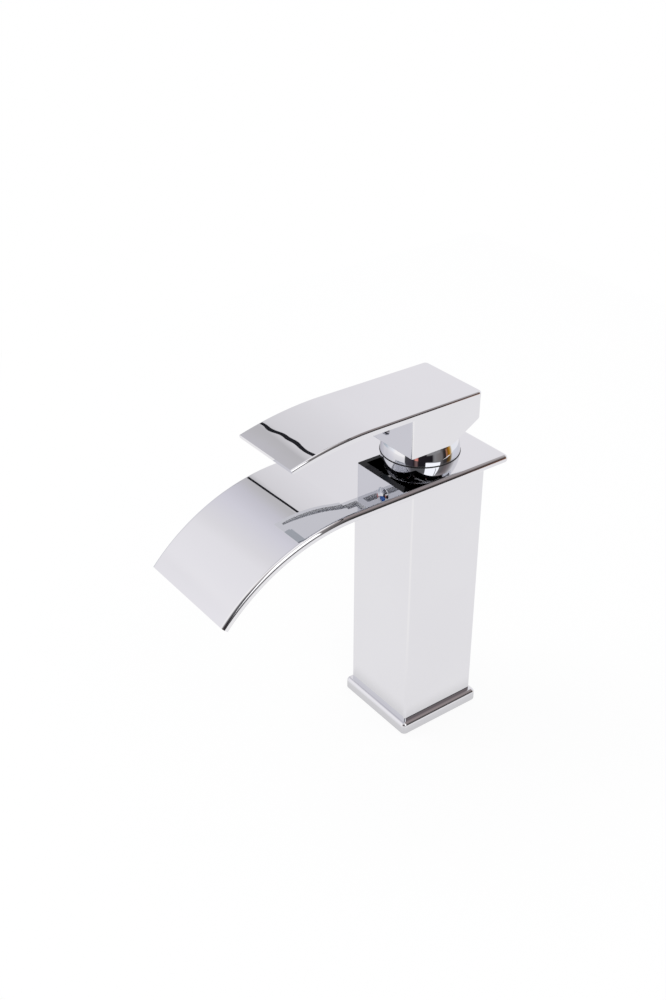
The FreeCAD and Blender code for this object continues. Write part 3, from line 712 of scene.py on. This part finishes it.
def linked(name: str, mesh: bmesh.types.BMesh) -> bpy.types.Object:
    """Turns a mesh into an object of the scene.

    Args:
        name: Name of the object.
        mesh: Its shape, which is used up.

    Returns:
        The object.
    """
    data = bpy.data.meshes.new(name)
    mesh.to_mesh(data)
    mesh.free()
    obj = bpy.data.objects.new(name, data)
    bpy.context.scene.collection.objects.link(obj)
    return obj


def new_piece(name: str, mesh: bmesh.types.BMesh, body: BodyName) -> bpy.types.Object:
    """Makes a smooth piece that rides on a body.

    Args:
        name: Name of the piece.
        mesh: Its shape, in the mixer's frame.
        body: Body that carries it.

    Returns:
        The piece.
    """
    bmesh.ops.recalc_face_normals(mesh, faces=mesh.faces)
    piece = linked(name, mesh)
    piece.data.shade_smooth()
    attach(piece, body.value)
    LOG.info("%s has %d faces", name, len(piece.data.polygons))
    return piece


def swept(sections: list[list[Vector]], closed: bool) -> bmesh.types.BMesh:
    """Joins equal sections into one skin.

    Args:
        sections: Rings of points, in order.
        closed: Whether the last section meets the first one. Otherwise both ends get a cap.

    Returns:
        The skin.
    """
    mesh = bmesh.new()
    rings = [[mesh.verts.new(point) for point in section] for section in sections]
    pairs = list(zip(rings, rings[1:]))
    if closed:
        pairs.append((rings[-1], rings[0]))
    for ring, after in pairs:
        for index, vert in enumerate(ring):
            beside = (index + 1) % len(ring)
            mesh.faces.new((vert, ring[beside], after[beside], after[index]))
    if not closed:
        mesh.faces.new(rings[0])
        mesh.faces.new(rings[-1])
    return mesh


def sheet(corners: list[Vector]) -> bmesh.types.BMesh:
    """Makes one flat face.

    Args:
        corners: Its corners, in order.

    Returns:
        The face's mesh.
    """
    mesh = bmesh.new()
    mesh.faces.new([mesh.verts.new(corner) for corner in corners])
    return mesh


@dataclass
class Thread:
    """Inner screw thread: a ridge that winds round a hole's wall."""

    name: str
    x: float
    y: float
    foot: float
    top: float
    radius: float
    pitch: float
    depth_share: float = 0.55
    root_share: float = 0.8
    bury: float = 0.02 * MM
    steps: int = 40
    sharp_angle: float = 40.0

    def build(self, wardrobe: Wardrobe) -> None:
        """Makes the ridge, which rides on the fixed body.

        Args:
            wardrobe: Materials of the mixer.
        """
        half = self.pitch * self.root_share / 2
        turns = (self.top - self.foot - 2 * half) / self.pitch
        crest = self.radius - self.pitch * self.depth_share
        wall = self.radius + self.bury
        sections = []
        for step in range(int(turns * self.steps) + 1):
            angle = 2 * math.pi * step / self.steps
            cosine, sine = math.cos(angle), math.sin(angle)
            level = self.foot + half + self.pitch * step / self.steps
            profile = ((wall, level - half), (wall, level + half), (crest, level))
            sections.append([Vector((self.x + r * cosine, self.y + r * sine, z)) for r, z in profile])
        piece = new_piece(self.name, swept(sections, closed=False), BodyName.FIXED)
        piece.data.set_sharp_from_angle(angle=math.radians(self.sharp_angle))
        wardrobe.dress(piece, BRASS)


class SubAssembly(ABC):
    """Nodes that belong together, with any pieces that are added to them."""

    @abstractmethod
    def finishes(self) -> dict[str, Finish]:
        """Gives the finish of each node, by the node's name."""

    def dress(self, wardrobe: Wardrobe) -> None:
        """Dresses the nodes from the mixer's materials."""
        for node, finish in self.finishes().items():
            wardrobe.dress(frame["nodes"][node], finish)

    def build(self, wardrobe: Wardrobe) -> None:
        """Adds nothing, unless a sub-assembly has pieces of its own."""


@dataclass
class Column(SubAssembly):
    """Foot, column and what is fixed inside it."""

    plating: Finish = CHROME
    gasket: Finish = RUBBER
    inside: Finish = BRASS
    stud_pitch: float = 1.25 * MM
    hose_pitch: float = 1.0 * MM

    def finishes(self) -> dict[str, Finish]:
        """Gives the finish of each node.

        Returns:
            The finishes, by the node's name.
        """
        return {
            "column_shell": self.plating,
            "base_flange": self.plating,
            "base_gasket": self.gasket,
            "anchor_bridge": self.inside,
            "valve_body": self.inside,
        }

    def build(self, wardrobe: Wardrobe) -> None:
        """Cuts the threads that the record's mounts ask for.

        Args:
            wardrobe: Materials of the mixer.
        """
        pitches = {
            "stud_thread": self.stud_pitch,
            "inlet_hot": self.hose_pitch,
            "inlet_cold": self.hose_pitch,
        }
        for mount in frame["record"]["mounts"]:
            if mount["name"] in pitches:
                x, y, middle = mount["pos_m"]
                half = mount["dims"]["length_mm"] * MM / 2
                Thread(
                    name=f"{mount['name']}_ridge",
                    x=x,
                    y=y,
                    foot=middle - half,
                    top=middle + half,
                    radius=mount["dims"]["r_mm"] * MM,
                    pitch=pitches[mount["name"]],
                ).build(wardrobe)


@dataclass
class Cartridge(SubAssembly):
    """Ceramic disc cartridge under the collar, with its stem and its nut."""

    casing: Finish = WHITE_PLASTIC
    seals: Finish = RUBBER
    discs: Finish = CERAMIC
    slider: Finish = GREY_PLASTIC
    pin: Finish = STEEL
    stem: Finish = BRASS

    def finishes(self) -> dict[str, Finish]:
        """Gives the finish of each node.

        Returns:
            The finishes, by the node's name.
        """
        return {
            "cartridge_housing": self.casing,
            "cartridge_base": self.casing,
            "port_seals": self.seals,
            "fixed_disc": self.discs,
            "moving_disc": self.discs,
            "disc_carrier": self.slider,
            "stem_guide": self.slider,
            "pivot_pin": self.pin,
            "lever_stem": self.stem,
            "retaining_nut": self.stem,
        }


@dataclass
class Collar(SubAssembly):
    """Dome over the cartridge, with a thin dark rubber ring round its foot as painted shade for the
    shadow line there.
    """

    dome: Finish = CHROME
    seal: Finish = RUBBER
    shade_bead_radius: float = 0.17 * MM
    shade_bead_out: float = 0.05 * MM
    around: int = 160
    across: int = 10

    def finishes(self) -> dict[str, Finish]:
        """Gives the finish of each node, by the node's name."""
        return {"collar_dome": self.dome, "collar_seal": self.seal}

    def build(self, wardrobe: Wardrobe) -> None:
        """Lays the dark ring round the dome's foot, as painted shade for the shadow line there.

        Args:
            wardrobe: Materials of the mixer.
        """
        low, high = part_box("collar_dome")
        radius = (high.x - low.x) / 2 + self.shade_bead_out
        level = low.z + self.shade_bead_radius
        sections = []
        for step in range(self.around):
            angle = 2 * math.pi * step / self.around
            out = Vector((math.cos(angle), math.sin(angle), 0.0))
            ring = []
            for part in range(self.across):
                turn = 2 * math.pi * part / self.across
                reach = radius + self.shade_bead_radius * math.cos(turn)
                ring.append(out * reach + Vector((0.0, 0.0, level + self.shade_bead_radius * math.sin(turn))))
            sections.append(ring)
        # Painted shade: the dark ring stands in for the shadow line round the dome's foot.
        piece = new_piece("collar_bead", swept(sections, closed=True), BodyName.FIXED)
        wardrobe.dress(piece, self.seal)


@dataclass
class Spout(SubAssembly):
    """Two skins of the waterfall spout."""

    upper_skin: Finish = CHROME
    under_skin: Finish = CHROME

    def finishes(self) -> dict[str, Finish]:
        """Gives the finish of each node, by the node's name."""
        return {"spout_tray": self.upper_skin, "spout_cover": self.under_skin}


@dataclass
class Handle(SubAssembly):
    """Block with its lever, and what is in its front.

    The hollow and the recess are measured from the lever's rear end, and the pad from its tip. Heights
    are measured from the block's foot.
    """

    screw: Finish = STEEL
    plug: Finish = CHROME
    cold_mark: Finish = BLUE
    hot_mark: Finish = RED
    grain_scale: float = 50.0
    grain_height: float = 0.18 * MM
    hollow_half: float = 18.3 * MM
    hollow_ends: Span = (38.1 * MM, 6.9 * MM)
    hollow_top: float = 18.0 * MM
    foot_skin: float = 0.03 * MM
    margin: float = 1.0 * MM
    recess_half: float = 18.55 * MM
    recess_ends: Span = (105.0 * MM, 43.9 * MM)
    pad_half: float = 12.2 * MM
    pad_ends: Span = (0.25 * MM, 6.3 * MM)

    def _cast_chrome(self, node: bpy.types.Object) -> CastFinish:
        """Gives the handle's finish, with the hollow, the sole, the recess and the pad in their places.

        Args:
            node: The handle's node.

        Returns:
            The finish.
        """
        low = [min(vert.co[axis] for vert in node.data.vertices) for axis in range(3)]
        high = [max(vert.co[axis] for vert in node.data.vertices) for axis in range(3)]
        left, tip, foot = low
        right, rear, top = high
        hollow = Region(
            low=(-self.hollow_half, rear - self.hollow_ends[0], foot - self.margin),
            high=(self.hollow_half, rear - self.hollow_ends[1], foot + self.hollow_top),
        )
        sole = Region(low=(left, tip, foot - self.margin), high=(right, rear, foot + self.foot_skin))
        recess = Region(
            low=(-self.recess_half, rear - self.recess_ends[0], foot),
            high=(self.recess_half, rear - self.recess_ends[1], top),
        )
        pad = Region(
            low=(-self.pad_half, tip + self.pad_ends[0], foot),
            high=(self.pad_half, tip + self.pad_ends[1], top),
        )
        return CastFinish(
            name="cast_chrome",
            tones=CHROME.tones,
            tone_scale=CHROME.tone_scale,
            gloss=CHROME.gloss,
            gloss_scale=CHROME.gloss_scale,
            grain_scale=self.grain_scale,
            grain_height=self.grain_height,
            metal=CHROME.metal,
            hollow=hollow,
            sole=sole,
            recess=recess,
            pad=pad,
        )

    def finishes(self) -> dict[str, Finish]:
        """Gives the finish of each node.

        Returns:
            The finishes, by the node's name.
        """
        return {
            "lever_handle": self._cast_chrome(frame["nodes"]["lever_handle"]),
            "handle_screw": self.screw,
            "indicator_plug": self.plug,
            "indicator_cold": self.cold_mark,
            "indicator_hot": self.hot_mark,
        }


class Paint(Enum):
    """Tints of the room's walls and stripes, which a brightness scales."""

    WHITE = (1.0, 1.0, 1.0)
    PALE = (1.0, 1.0, 1.03)
    LILAC = (1.0, 1.0, 1.09)
    COOL = (1.0, 1.04, 1.1)
    BLUE = (1.0, 1.13, 1.26)
    INK = (1.0, 0.85, 1.1)
    WARM = (1.0, 0.95, 0.95)
    BROWN = (1.0, 0.85, 0.85)
    MAROON = (1.0, 0.65, 0.62)
    RED = (1.0, 0.37, 0.31)
    RUST = (1.0, 0.45, 0.26)
    UMBER = (1.0, 0.54, 0.13)
    OCHRE = (1.0, 0.45, 0.03)
    SAND = (1.0, 0.74, 0.33)
    CREAM = (1.0, 0.98, 0.92)


Patch = tuple[float, Paint, float]


@dataclass(frozen=True)
class Band:
    """Ring of the room that the metal mirrors.

    The heights, in degrees, are where it starts to show and where it shows alone. Each patch is a
    direction, in degrees round from +X, with the paint and the brightness there.
    """

    heights: Span
    patches: tuple[Patch, ...]

    def stops(self, light: Rgb) -> tuple[Stop, ...]:
        """Gives the ring's colours.

        Args:
            light: Light that falls on the walls.

        Returns:
            The colours with their places, from 0 at minus half a turn to 1 at half a turn.
        """
        stops = []
        for angle, paint, brightness in self.patches:
            colour = tuple(brightness * tint * lit for tint, lit in zip(paint.value, light))
            stops.append(((angle + HALF_TURN) / (2 * HALF_TURN), colour))
        return tuple(stops)


HORIZON = Band(
    heights=(-90.0, -89.0),
    patches=(
        (-180.0, Paint.COOL, 0.6),
        (-165.0, Paint.BLUE, 0.42),
        (-150.0, Paint.BLUE, 0.51),
        (-138.0, Paint.COOL, 0.73),
        (-122.0, Paint.COOL, 0.87),
        (-112.0, Paint.WHITE, 1.0),
        (-82.0, Paint.WHITE, 1.0),
        (-80.5, Paint.LILAC, 0.07),
        (-60.0, Paint.INK, 0.04),
        (-55.0, Paint.INK, 0.02),
        (-54.0, Paint.RED, 0.55),
        (-50.0, Paint.RED, 0.75),
        (-45.0, Paint.RED, 0.54),
        (-43.5, Paint.INK, 0.017),
        (-5.0, Paint.INK, 0.013),
        (-3.0, Paint.PALE, 0.15),
        (2.0, Paint.PALE, 0.235),
        (12.0, Paint.WARM, 0.2),
        (24.0, Paint.WARM, 0.16),
        (28.0, Paint.BROWN, 0.06),
        (30.0, Paint.BROWN, 0.03),
        (37.4, Paint.BROWN, 0.028),
        (38.6, Paint.RUST, 0.3),
        (41.0, Paint.RUST, 0.36),
        (43.0, Paint.OCHRE, 0.16),
        (50.0, Paint.OCHRE, 0.46),
        (55.0, Paint.SAND, 0.52),
        (58.5, Paint.CREAM, 0.8),
        (61.0, Paint.COOL, 0.88),
        (120.0, Paint.PALE, 0.865),
        (140.0, Paint.PALE, 0.84),
        (180.0, Paint.COOL, 0.6),
    ),
)
LOW_ROOM = Band(
    heights=(3.0, 8.0),
    patches=(
        (-180.0, Paint.LILAC, 0.705),
        (-164.0, Paint.PALE, 0.8),
        (-158.0, Paint.PALE, 0.875),
        (-143.0, Paint.PALE, 0.86),
        (-139.0, Paint.PALE, 0.9),
        (-122.0, Paint.PALE, 0.955),
        (-114.0, Paint.WHITE, 1.0),
        (-82.0, Paint.WHITE, 1.0),
        (-80.5, Paint.LILAC, 0.07),
        (-60.0, Paint.INK, 0.05),
        (-56.0, Paint.INK, 0.02),
        (-54.0, Paint.MAROON, 0.09),
        (-49.0, Paint.MAROON, 0.245),
        (-45.0, Paint.MAROON, 0.11),
        (-43.5, Paint.INK, 0.017),
        (-22.0, Paint.INK, 0.02),
        (-20.0, Paint.PALE, 0.25),
        (18.0, Paint.PALE, 0.245),
        (24.0, Paint.WARM, 0.14),
        (31.0, Paint.WARM, 0.05),
        (41.0, Paint.BROWN, 0.05),
        (44.0, Paint.UMBER, 0.12),
        (50.0, Paint.UMBER, 0.18),
        (56.0, Paint.SAND, 0.345),
        (60.0, Paint.WHITE, 0.8),
        (64.0, Paint.COOL, 0.88),
        (120.0, Paint.PALE, 0.865),
        (140.0, Paint.PALE, 0.84),
        (156.0, Paint.PALE, 0.73),
        (164.0, Paint.PALE, 0.53),
        (180.0, Paint.LILAC, 0.705),
    ),
)
HIGH_ROOM = Band(
    heights=(23.0, 29.0),
    patches=(
        (-180.0, Paint.LILAC, 0.705),
        (-165.0, Paint.PALE, 0.79),
        (-159.0, Paint.PALE, 0.85),
        (-148.0, Paint.PALE, 0.88),
        (-120.0, Paint.WHITE, 1.0),
        (-90.0, Paint.WHITE, 0.86),
        (-74.0, Paint.LILAC, 0.335),
        (-64.0, Paint.PALE, 0.12),
        (-25.0, Paint.PALE, 0.135),
        (20.0, Paint.WARM, 0.22),
        (32.0, Paint.WARM, 0.16),
        (46.0, Paint.BROWN, 0.23),
        (60.0, Paint.WARM, 0.33),
        (84.0, Paint.WHITE, 0.88),
        (100.0, Paint.PALE, 0.86),
        (125.0, Paint.PALE, 0.82),
        (140.0, Paint.PALE, 0.84),
        (150.0, Paint.PALE, 0.775),
        (156.0, Paint.PALE, 0.74),
        (159.5, Paint.PALE, 0.71),
        (161.5, Paint.PALE, 0.525),
        (164.0, Paint.PALE, 0.54),
        (170.0, Paint.LILAC, 0.615),
        (180.0, Paint.LILAC, 0.705),
    ),
)
TOP_ROOM = Band(
    heights=(46.0, 54.0),
    patches=(
        (-180.0, Paint.LILAC, 0.575),
        (-160.0, Paint.LILAC, 0.595),
        (-140.0, Paint.PALE, 0.665),
        (-128.0, Paint.WHITE, 1.0),
        (-96.0, Paint.WHITE, 1.0),
        (-70.0, Paint.WARM, 0.56),
        (-25.0, Paint.WARM, 0.605),
        (26.0, Paint.WARM, 0.33),
        (60.0, Paint.BROWN, 0.365),
        (82.0, Paint.BROWN, 0.26),
        (104.0, Paint.WARM, 0.29),
        (122.0, Paint.WHITE, 0.545),
        (140.0, Paint.PALE, 0.8),
        (180.0, Paint.LILAC, 0.575),
    ),
)


@dataclass
class Surroundings:
    """What the metal mirrors: pale walls, a dark side of the room, and a soft box."""

    bands: tuple[Band, ...] = (HORIZON, LOW_ROOM, HIGH_ROOM, TOP_ROOM)
    light: Rgb = (1.222, 1.19, 1.166)
    zenith: Rgb = (1.25, 1.22, 1.2)
    zenith_start: Span = (64.0, 76.0)
    box_sides: Span = (-23.0, 18.5)
    box_heights: Span = (17.5, 58.0)
    box_slope: float = 0.11
    box_edge: float = 1.2
    box_colour: Rgb = (1.8, 1.78, 1.75)
    backdrop: Rgb = (1.0, 1.0, 1.0)
    fill: Rgb = (0.86, 0.86, 0.87)

    def _window(self, graph: Graph, angle: Socket, sides: Span) -> Socket:
        """Masks the angles between two sides of the soft box.

        Args:
            graph: Graph of the world.
            angle: Socket of the angle, in degrees.
            sides: Lowest and highest angle.

        Returns:
            Socket of the mask.
        """
        low, high = sides
        rise = graph.between(angle, (low - self.box_edge, low), (0.0, 1.0))
        fall = graph.between(angle, (high, high + self.box_edge), (1.0, 0.0))
        return graph.math(Operation.MULTIPLY, rise, fall)

    def _room(self, graph: Graph) -> Socket:
        """Paints the mirrored room.

        Args:
            graph: Graph of the world.

        Returns:
            Socket of the colour in each direction.
        """
        x, y, z = graph.axes(graph.coordinates(Coordinates.DIRECTION))
        bearing = graph.math(Operation.DEGREES, graph.math(Operation.ARCTAN2, y, x))
        height = graph.math(Operation.DEGREES, graph.math(Operation.ARCSINE, z))
        turn = graph.between(bearing, (-HALF_TURN, HALF_TURN), (0.0, 1.0))
        lowest, *others = self.bands
        colour = graph.ramp(turn, lowest.stops(self.light))
        for band in others:
            shown = graph.between(height, band.heights, (0.0, 1.0), smooth=True)
            colour = graph.mix(shown, colour, graph.ramp(turn, band.stops(self.light)))
        lean = graph.math(Operation.MULTIPLY, bearing, self.box_slope)
        level = graph.math(Operation.SUBTRACT, height, lean)
        across = self._window(graph, bearing, self.box_sides)
        upward = self._window(graph, level, self.box_heights)
        colour = graph.mix(graph.math(Operation.MULTIPLY, across, upward), colour, self.box_colour)
        overhead = graph.between(height, self.zenith_start, (0.0, 1.0), smooth=True)
        return graph.mix(overhead, colour, self.zenith)

    def build(self) -> None:
        """Makes the world: the room for the metal, plain white behind the mixer, even fill elsewhere."""
        world = bpy.data.worlds.new("studio_room")
        bpy.context.scene.world = world
        world.use_nodes = True
        graph = Graph(world.node_tree)
        graph.tree.nodes.clear()
        rays = graph.add("ShaderNodeLightPath").outputs
        colour = graph.mix(rays["Is Glossy Ray"], self.fill, self._room(graph))
        plain = graph.math(Operation.MAXIMUM, rays["Is Camera Ray"], rays["Is Transmission Ray"])
        colour = graph.mix(plain, colour, self.backdrop)
        light = graph.add("ShaderNodeBackground")
        graph.feed(light, "Color", colour)
        out = graph.add("ShaderNodeOutputWorld")
        graph.feed(out, "Surface", light.outputs["Background"])


@dataclass
class SeamCard:
    """Dark seam of the light tent over the spout, which only the metal shows, as a thin line."""

    start: Point = (-0.5, -0.0131, 0.3827)
    stop: Point = (0.3, 0.039, 0.3444)
    width: float = 7.0 * MM
    tones: tuple[Rgb, Rgb] = ((0.012, 0.012, 0.015), (0.03, 0.03, 0.035))
    tone_scale: float = 60.0

    def build(self, target: Vector) -> None:
        """Hangs the card.

        Args:
            target: Point that it faces.
        """
        start, stop = Vector(self.start), Vector(self.stop)
        along = stop - start
        across = along.cross(target - (start + stop) / 2).normalized() * (self.width / 2)
        corners = [start - across, stop - across, stop + across, start + across]
        card = linked("seam_card", sheet(corners))
        card.data.materials.append(self._material())
        card.visible_camera = False
        card.visible_diffuse = False
        card.visible_shadow = False

    def _material(self) -> bpy.types.Material:
        """Makes the card's dark cloth.

        Returns:
            The material.
        """
        material, graph = bare_material("dark_cloth")
        pattern = graph.noise(graph.coordinates(), self.tone_scale)
        glow = graph.add("ShaderNodeEmission")
        graph.feed(glow, "Color", graph.mix(pattern, *self.tones))
        out = graph.add("ShaderNodeOutputMaterial")
        graph.feed(out, "Surface", glow.outputs["Emission"])
        return material


@dataclass
class Floor:
    """Pale floor that keeps a faint shadow of the mixer."""

    half: float = 0.55
    tint: Rgb = (0.92, 0.92, 0.92)
    seen: Rgb = (1.0, 1.0, 1.0)
    mirrored: Rgb = (1.07, 1.045, 1.035)
    # Painted shade: the floor's tone in the metal is darker near the foot.
    foot_shade_tone: Rgb = (0.83, 0.815, 0.805)
    foot_shade_reach: Span = (25.5 * MM, 38.0 * MM)
    # Painted light: the floor's tone in the metal is lighter in a sector on the lit side.
    lit: Rgb = (1.16, 1.13, 1.1)
    lit_side: float = -50.0
    lit_width: Span = (25.0, 70.0)
    lit_reach: Span = (45.0 * MM, 110.0 * MM)
    shadow_share: float = 0.1

    def build(self) -> None:
        """Lays the floor under the mixer."""
        signs = ((-1, -1), (1, -1), (1, 1), (-1, 1))
        corners = [Vector((x * self.half, y * self.half, 0.0)) for x, y in signs]
        floor = linked("studio_floor", sheet(corners))
        floor.data.materials.append(self._material())

    def _mirrored(self, graph: Graph) -> Socket:
        """Gives the tone that the metal shows: painted shade by the foot, a painted pool of light on the
        lit side.

        Args:
            graph: Graph of the floor's material.

        Returns:
            The colour's socket.
        """
        x, y, _ = graph.axes(graph.coordinates())
        angle = graph.math(Operation.DEGREES, graph.math(Operation.ARCTAN2, y, x))
        off = graph.math(Operation.ABSOLUTE, graph.math(Operation.SUBTRACT, angle, self.lit_side))
        sideways, lengthways = (graph.math(Operation.ABSOLUTE, axis) for axis in (x, y))
        reach = graph.math(Operation.MAXIMUM, sideways, lengthways)
        # Painted light: a lighter patch on the lit side, away from the foot.
        towards = graph.between(off, self.lit_width, (1.0, 0.0), smooth=True)
        away = graph.between(reach, self.lit_reach, (0.0, 1.0), smooth=True)
        colour = graph.mix(graph.math(Operation.MULTIPLY, towards, away), self.mirrored, self.lit)
        # Painted shade by the foot.
        clear = graph.between(reach, self.foot_shade_reach, (0.0, 1.0), smooth=True)
        return graph.mix(clear, self.foot_shade_tone, colour)

    def _material(self) -> bpy.types.Material:
        """Makes the floor's material: white for the camera and the metal, plain paint for soft light.

        Returns:
            The material.
        """
        material, graph = bare_material("pale_floor")
        paint = graph.add("ShaderNodeBsdfDiffuse")
        graph.feed(paint, "Color", (*self.tint, 1.0))
        rays = graph.add("ShaderNodeLightPath").outputs
        glow = graph.add("ShaderNodeEmission")
        graph.feed(glow, "Color", graph.mix(rays["Is Glossy Ray"], self.seen, self._mirrored(graph)))
        shown = graph.math(Operation.MAXIMUM, rays["Is Camera Ray"], rays["Is Glossy Ray"])
        shown = graph.math(Operation.MAXIMUM, shown, rays["Is Transmission Ray"])
        blend = graph.add("ShaderNodeMixShader")
        graph.feed(blend, "Fac", graph.math(Operation.MULTIPLY, shown, 1.0 - self.shadow_share))
        graph.feed(blend, 1, paint.outputs["BSDF"])
        graph.feed(blend, 2, glow.outputs["Emission"])
        out = graph.add("ShaderNodeOutputMaterial")
        graph.feed(out, "Surface", blend.outputs["Shader"])
        return material


@dataclass(frozen=True)
class Lamp:
    """Soft square lamp that points at the mixer."""

    name: str
    place: Point
    side: float
    watts: float

    def build(self, target: Vector) -> None:
        """Hangs the lamp.

        Args:
            target: Point that it faces.
        """
        data = bpy.data.lights.new(self.name, "AREA")
        data.shape = "SQUARE"
        data.size = self.side
        data.energy = self.watts
        lamp = bpy.data.objects.new(self.name, data)
        lamp.location = self.place
        lamp.rotation_euler = (target - lamp.location).to_track_quat("-Z", "Y").to_euler()
        lamp.visible_glossy = False
        bpy.context.scene.collection.objects.link(lamp)


@dataclass
class Studio:
    """Floor, room, lamps and camera."""

    aim: Point = (0.0, -0.03, 0.1)
    lamps: tuple[Lamp, ...] = (
        Lamp(name="key_lamp", place=(-0.9, -0.9, 1.6), side=1.2, watts=9.0),
        Lamp(name="side_lamp", place=(1.2, -0.3, 1.3), side=1.0, watts=4.0),
    )
    eye: Point = (0.39893, -0.34717, 0.43943)
    yaw: float = 53.53
    pitch: float = 30.97
    lens: float = 44.594
    sensor: float = 36.0
    nearest: float = 10.0 * MM

    def build(self) -> None:
        """Sets the studio up."""
        target = Vector(self.aim)
        Surroundings().build()
        SeamCard().build(target)
        Floor().build()
        for lamp in self.lamps:
            lamp.build(target)
        self._camera()
        bpy.context.scene.view_settings.view_transform = "Standard"

    def _camera(self) -> None:
        """Puts the camera where the picture was taken from, tipped down from level by the pitch."""
        data = bpy.data.cameras.new("camera")
        data.lens = self.lens
        data.sensor_width = self.sensor
        data.clip_start = self.nearest
        camera = bpy.data.objects.new("camera", data)
        camera.location = self.eye
        tilt = math.radians(QUARTER_TURN - self.pitch)
        camera.rotation_euler = (tilt, 0.0, math.radians(self.yaw))
        bpy.context.scene.collection.objects.link(camera)
        bpy.context.scene.camera = camera


def main() -> None:
    """Builds the mixer's looks and its studio."""
    logging.basicConfig(level=logging.INFO, format="%(name)s: %(message)s")
    wardrobe = Wardrobe(Effects())
    for part in (Column(), Cartridge(), Collar(), Spout(), Handle()):
        part.dress(wardrobe)
        part.build(wardrobe)
    Studio().build()


if __name__ == "__main__":
    main()
